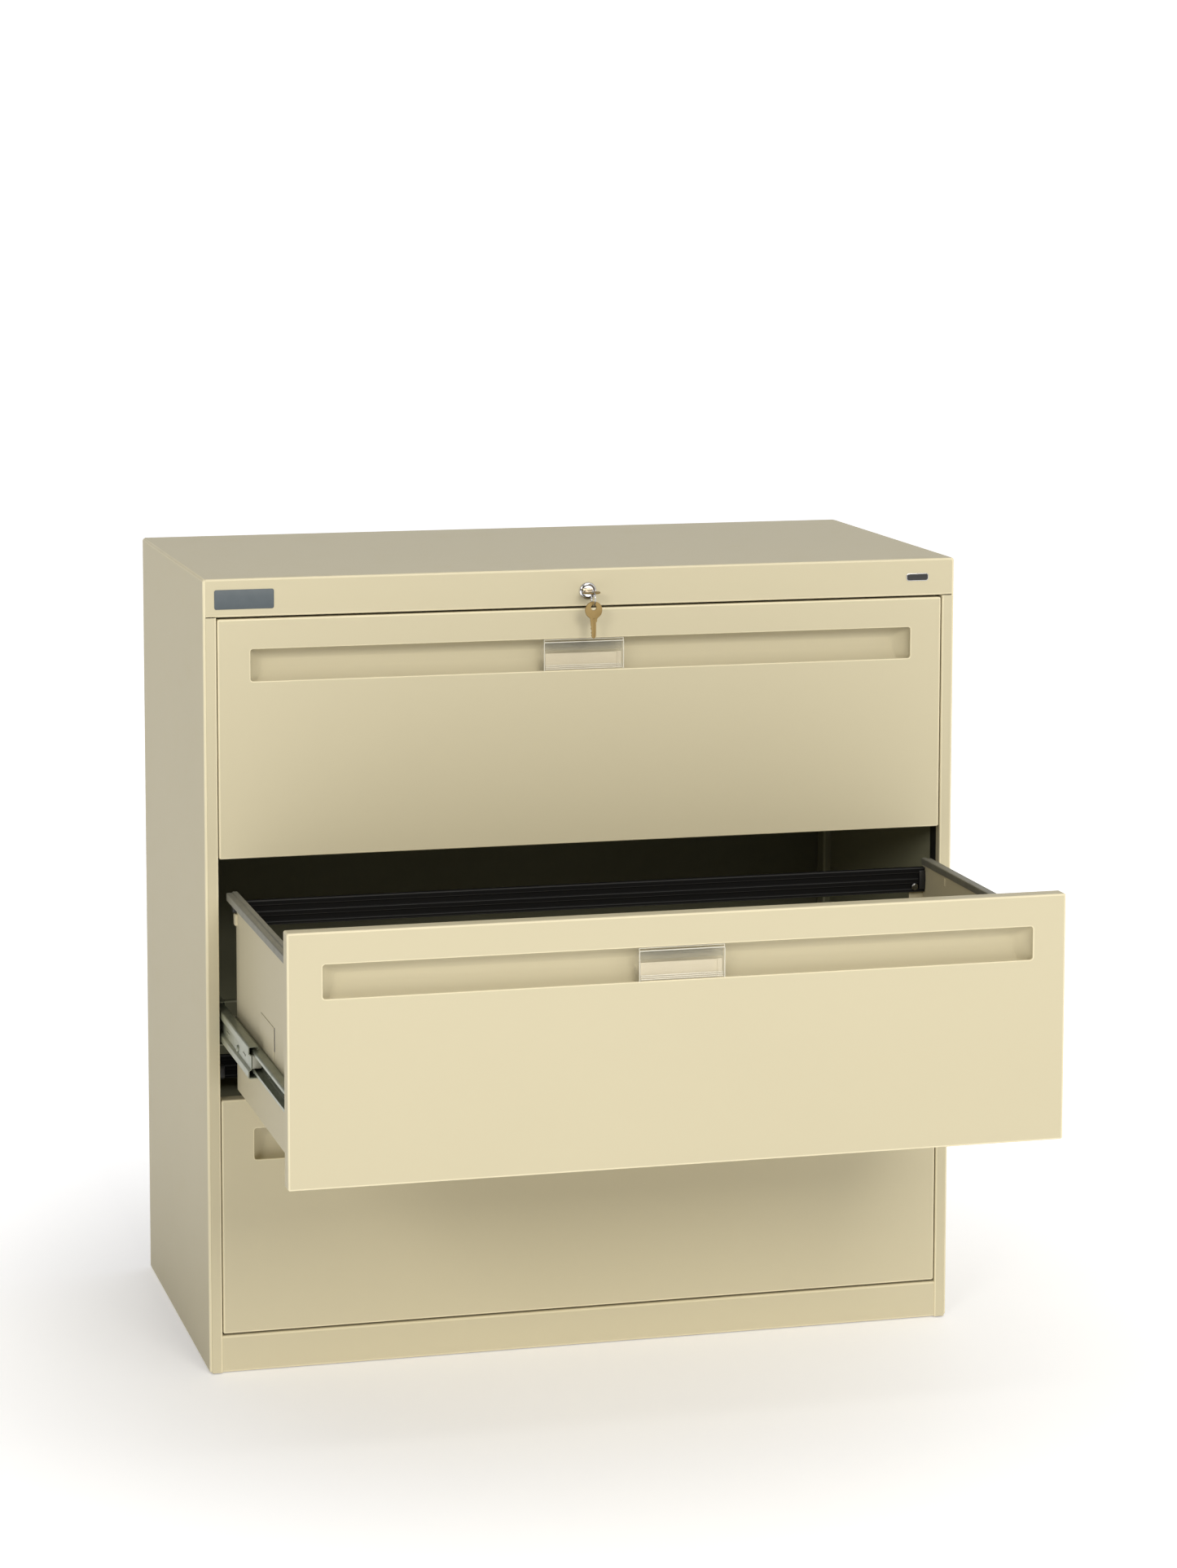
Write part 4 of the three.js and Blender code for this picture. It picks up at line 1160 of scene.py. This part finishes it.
key_hole_y = case_front - 21.4
lock_key = key_parts((0, 1, 0), (1, 0, 0), (0, 0, 1), (0, key_hole_y, lock_z))
piece("key_in_plug", lock_key, brass, "key", ["key_in_lock"])
ring_middle = sum(box_mm("key_ring")) / 2
spare = key_parts((0, 0, -1), (-1, 0, 0), (0, 1, 0), (0.3, ring_middle[1], 896.9))
piece("spare_key", spare, brass, "key_ring")
print("key hole", round(case_front - key_hole_y, 1), "mm in front of the header")


# %% Key ring
def wire_ring(radius, wire, turns, offset):
    """A split ring: a round wire wound in flat turns beside each other, its centre line a circle that drifts
    sideways as it goes round."""
    round_it = np.linspace(0, 2 * math.pi * turns, int(64 * turns))
    drift = offset * (round_it / round_it[-1] - 0.5)
    line = np.stack([drift, radius * np.sin(round_it), radius * np.cos(round_it)], 1)
    outward = np.stack([0 * round_it, np.sin(round_it), np.cos(round_it)], 1)
    angle = np.linspace(0, 2 * math.pi, 12, endpoint=False)[None, :, None]
    tube = line[:, None] + wire * (np.cos(angle) * outward[:, None] + np.sin(angle) * np.array([1.0, 0, 0]))
    ends = line[[0, -1]][:, None] + 0 * tube[:1]
    return surface(np.concatenate([ends[:1], tube, ends[1:]]) + ring_middle, wrap_rows=False)


piece("split_ring", [wire_ring(8.2, 0.5, 1.9, 1.2)], wire_steel, "key_ring", ["key_ring"])
print("key ring's middle", np.round(ring_middle, 1).tolist())

# %% [markdown]
# ## Plates on the header
# Two small plates are stuck on the header: a slate one at the left, and a black pill with a bright rim at
# the right. Both are blank here.

# %% Header plates
notice = slab(-443.9, -374.2, 904.6, 927.5, case_front - 0.45, case_front, "y", 2.4, 0.2)
piece("notice_plate", [notice], notice_face, "case")
pill = slab(397.0, 423.3, 914.2, 921.8, case_front - 0.95, case_front - 0.2, "y", 2.6, 0.25)
piece("badge_face", [pill], badge_face, "case")
pill_rim = slab(396.2, 424.1, 913.4, 922.6, case_front - 0.6, case_front, "y", 3.2, 0.3)
piece("badge_rim", [pill_rim], wire_steel, "case")
print("plates on the header: 2, both blank")

# %% [markdown]
# ## Paint for the rest
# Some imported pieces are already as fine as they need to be, such as the drawer floors and the glides. They
# keep their mesh and only get a finish, chosen by the material that the record gives each of them.

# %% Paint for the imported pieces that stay
slot_paints = {
    "putty_paint": putty,
    "interior_paint": interior,
    "black_paint": black_paint,
    "zinc_plate": zinc,
    "chrome_plate": chrome,
    "brass": brass,
    "steel_wire": wire_steel,
    "clear_plastic": clear_plastic,
    "black_plastic": black_plastic,
}
slot_of = {entry["node"]: entry["material_slot"] for entry in frame["record"]["subparts"]}
for name, node in nodes.items():
    node.data.materials.clear()
    node.data.materials.append(slot_paints[slot_of[name]].material)
print("packed nodes painted:", len(nodes))
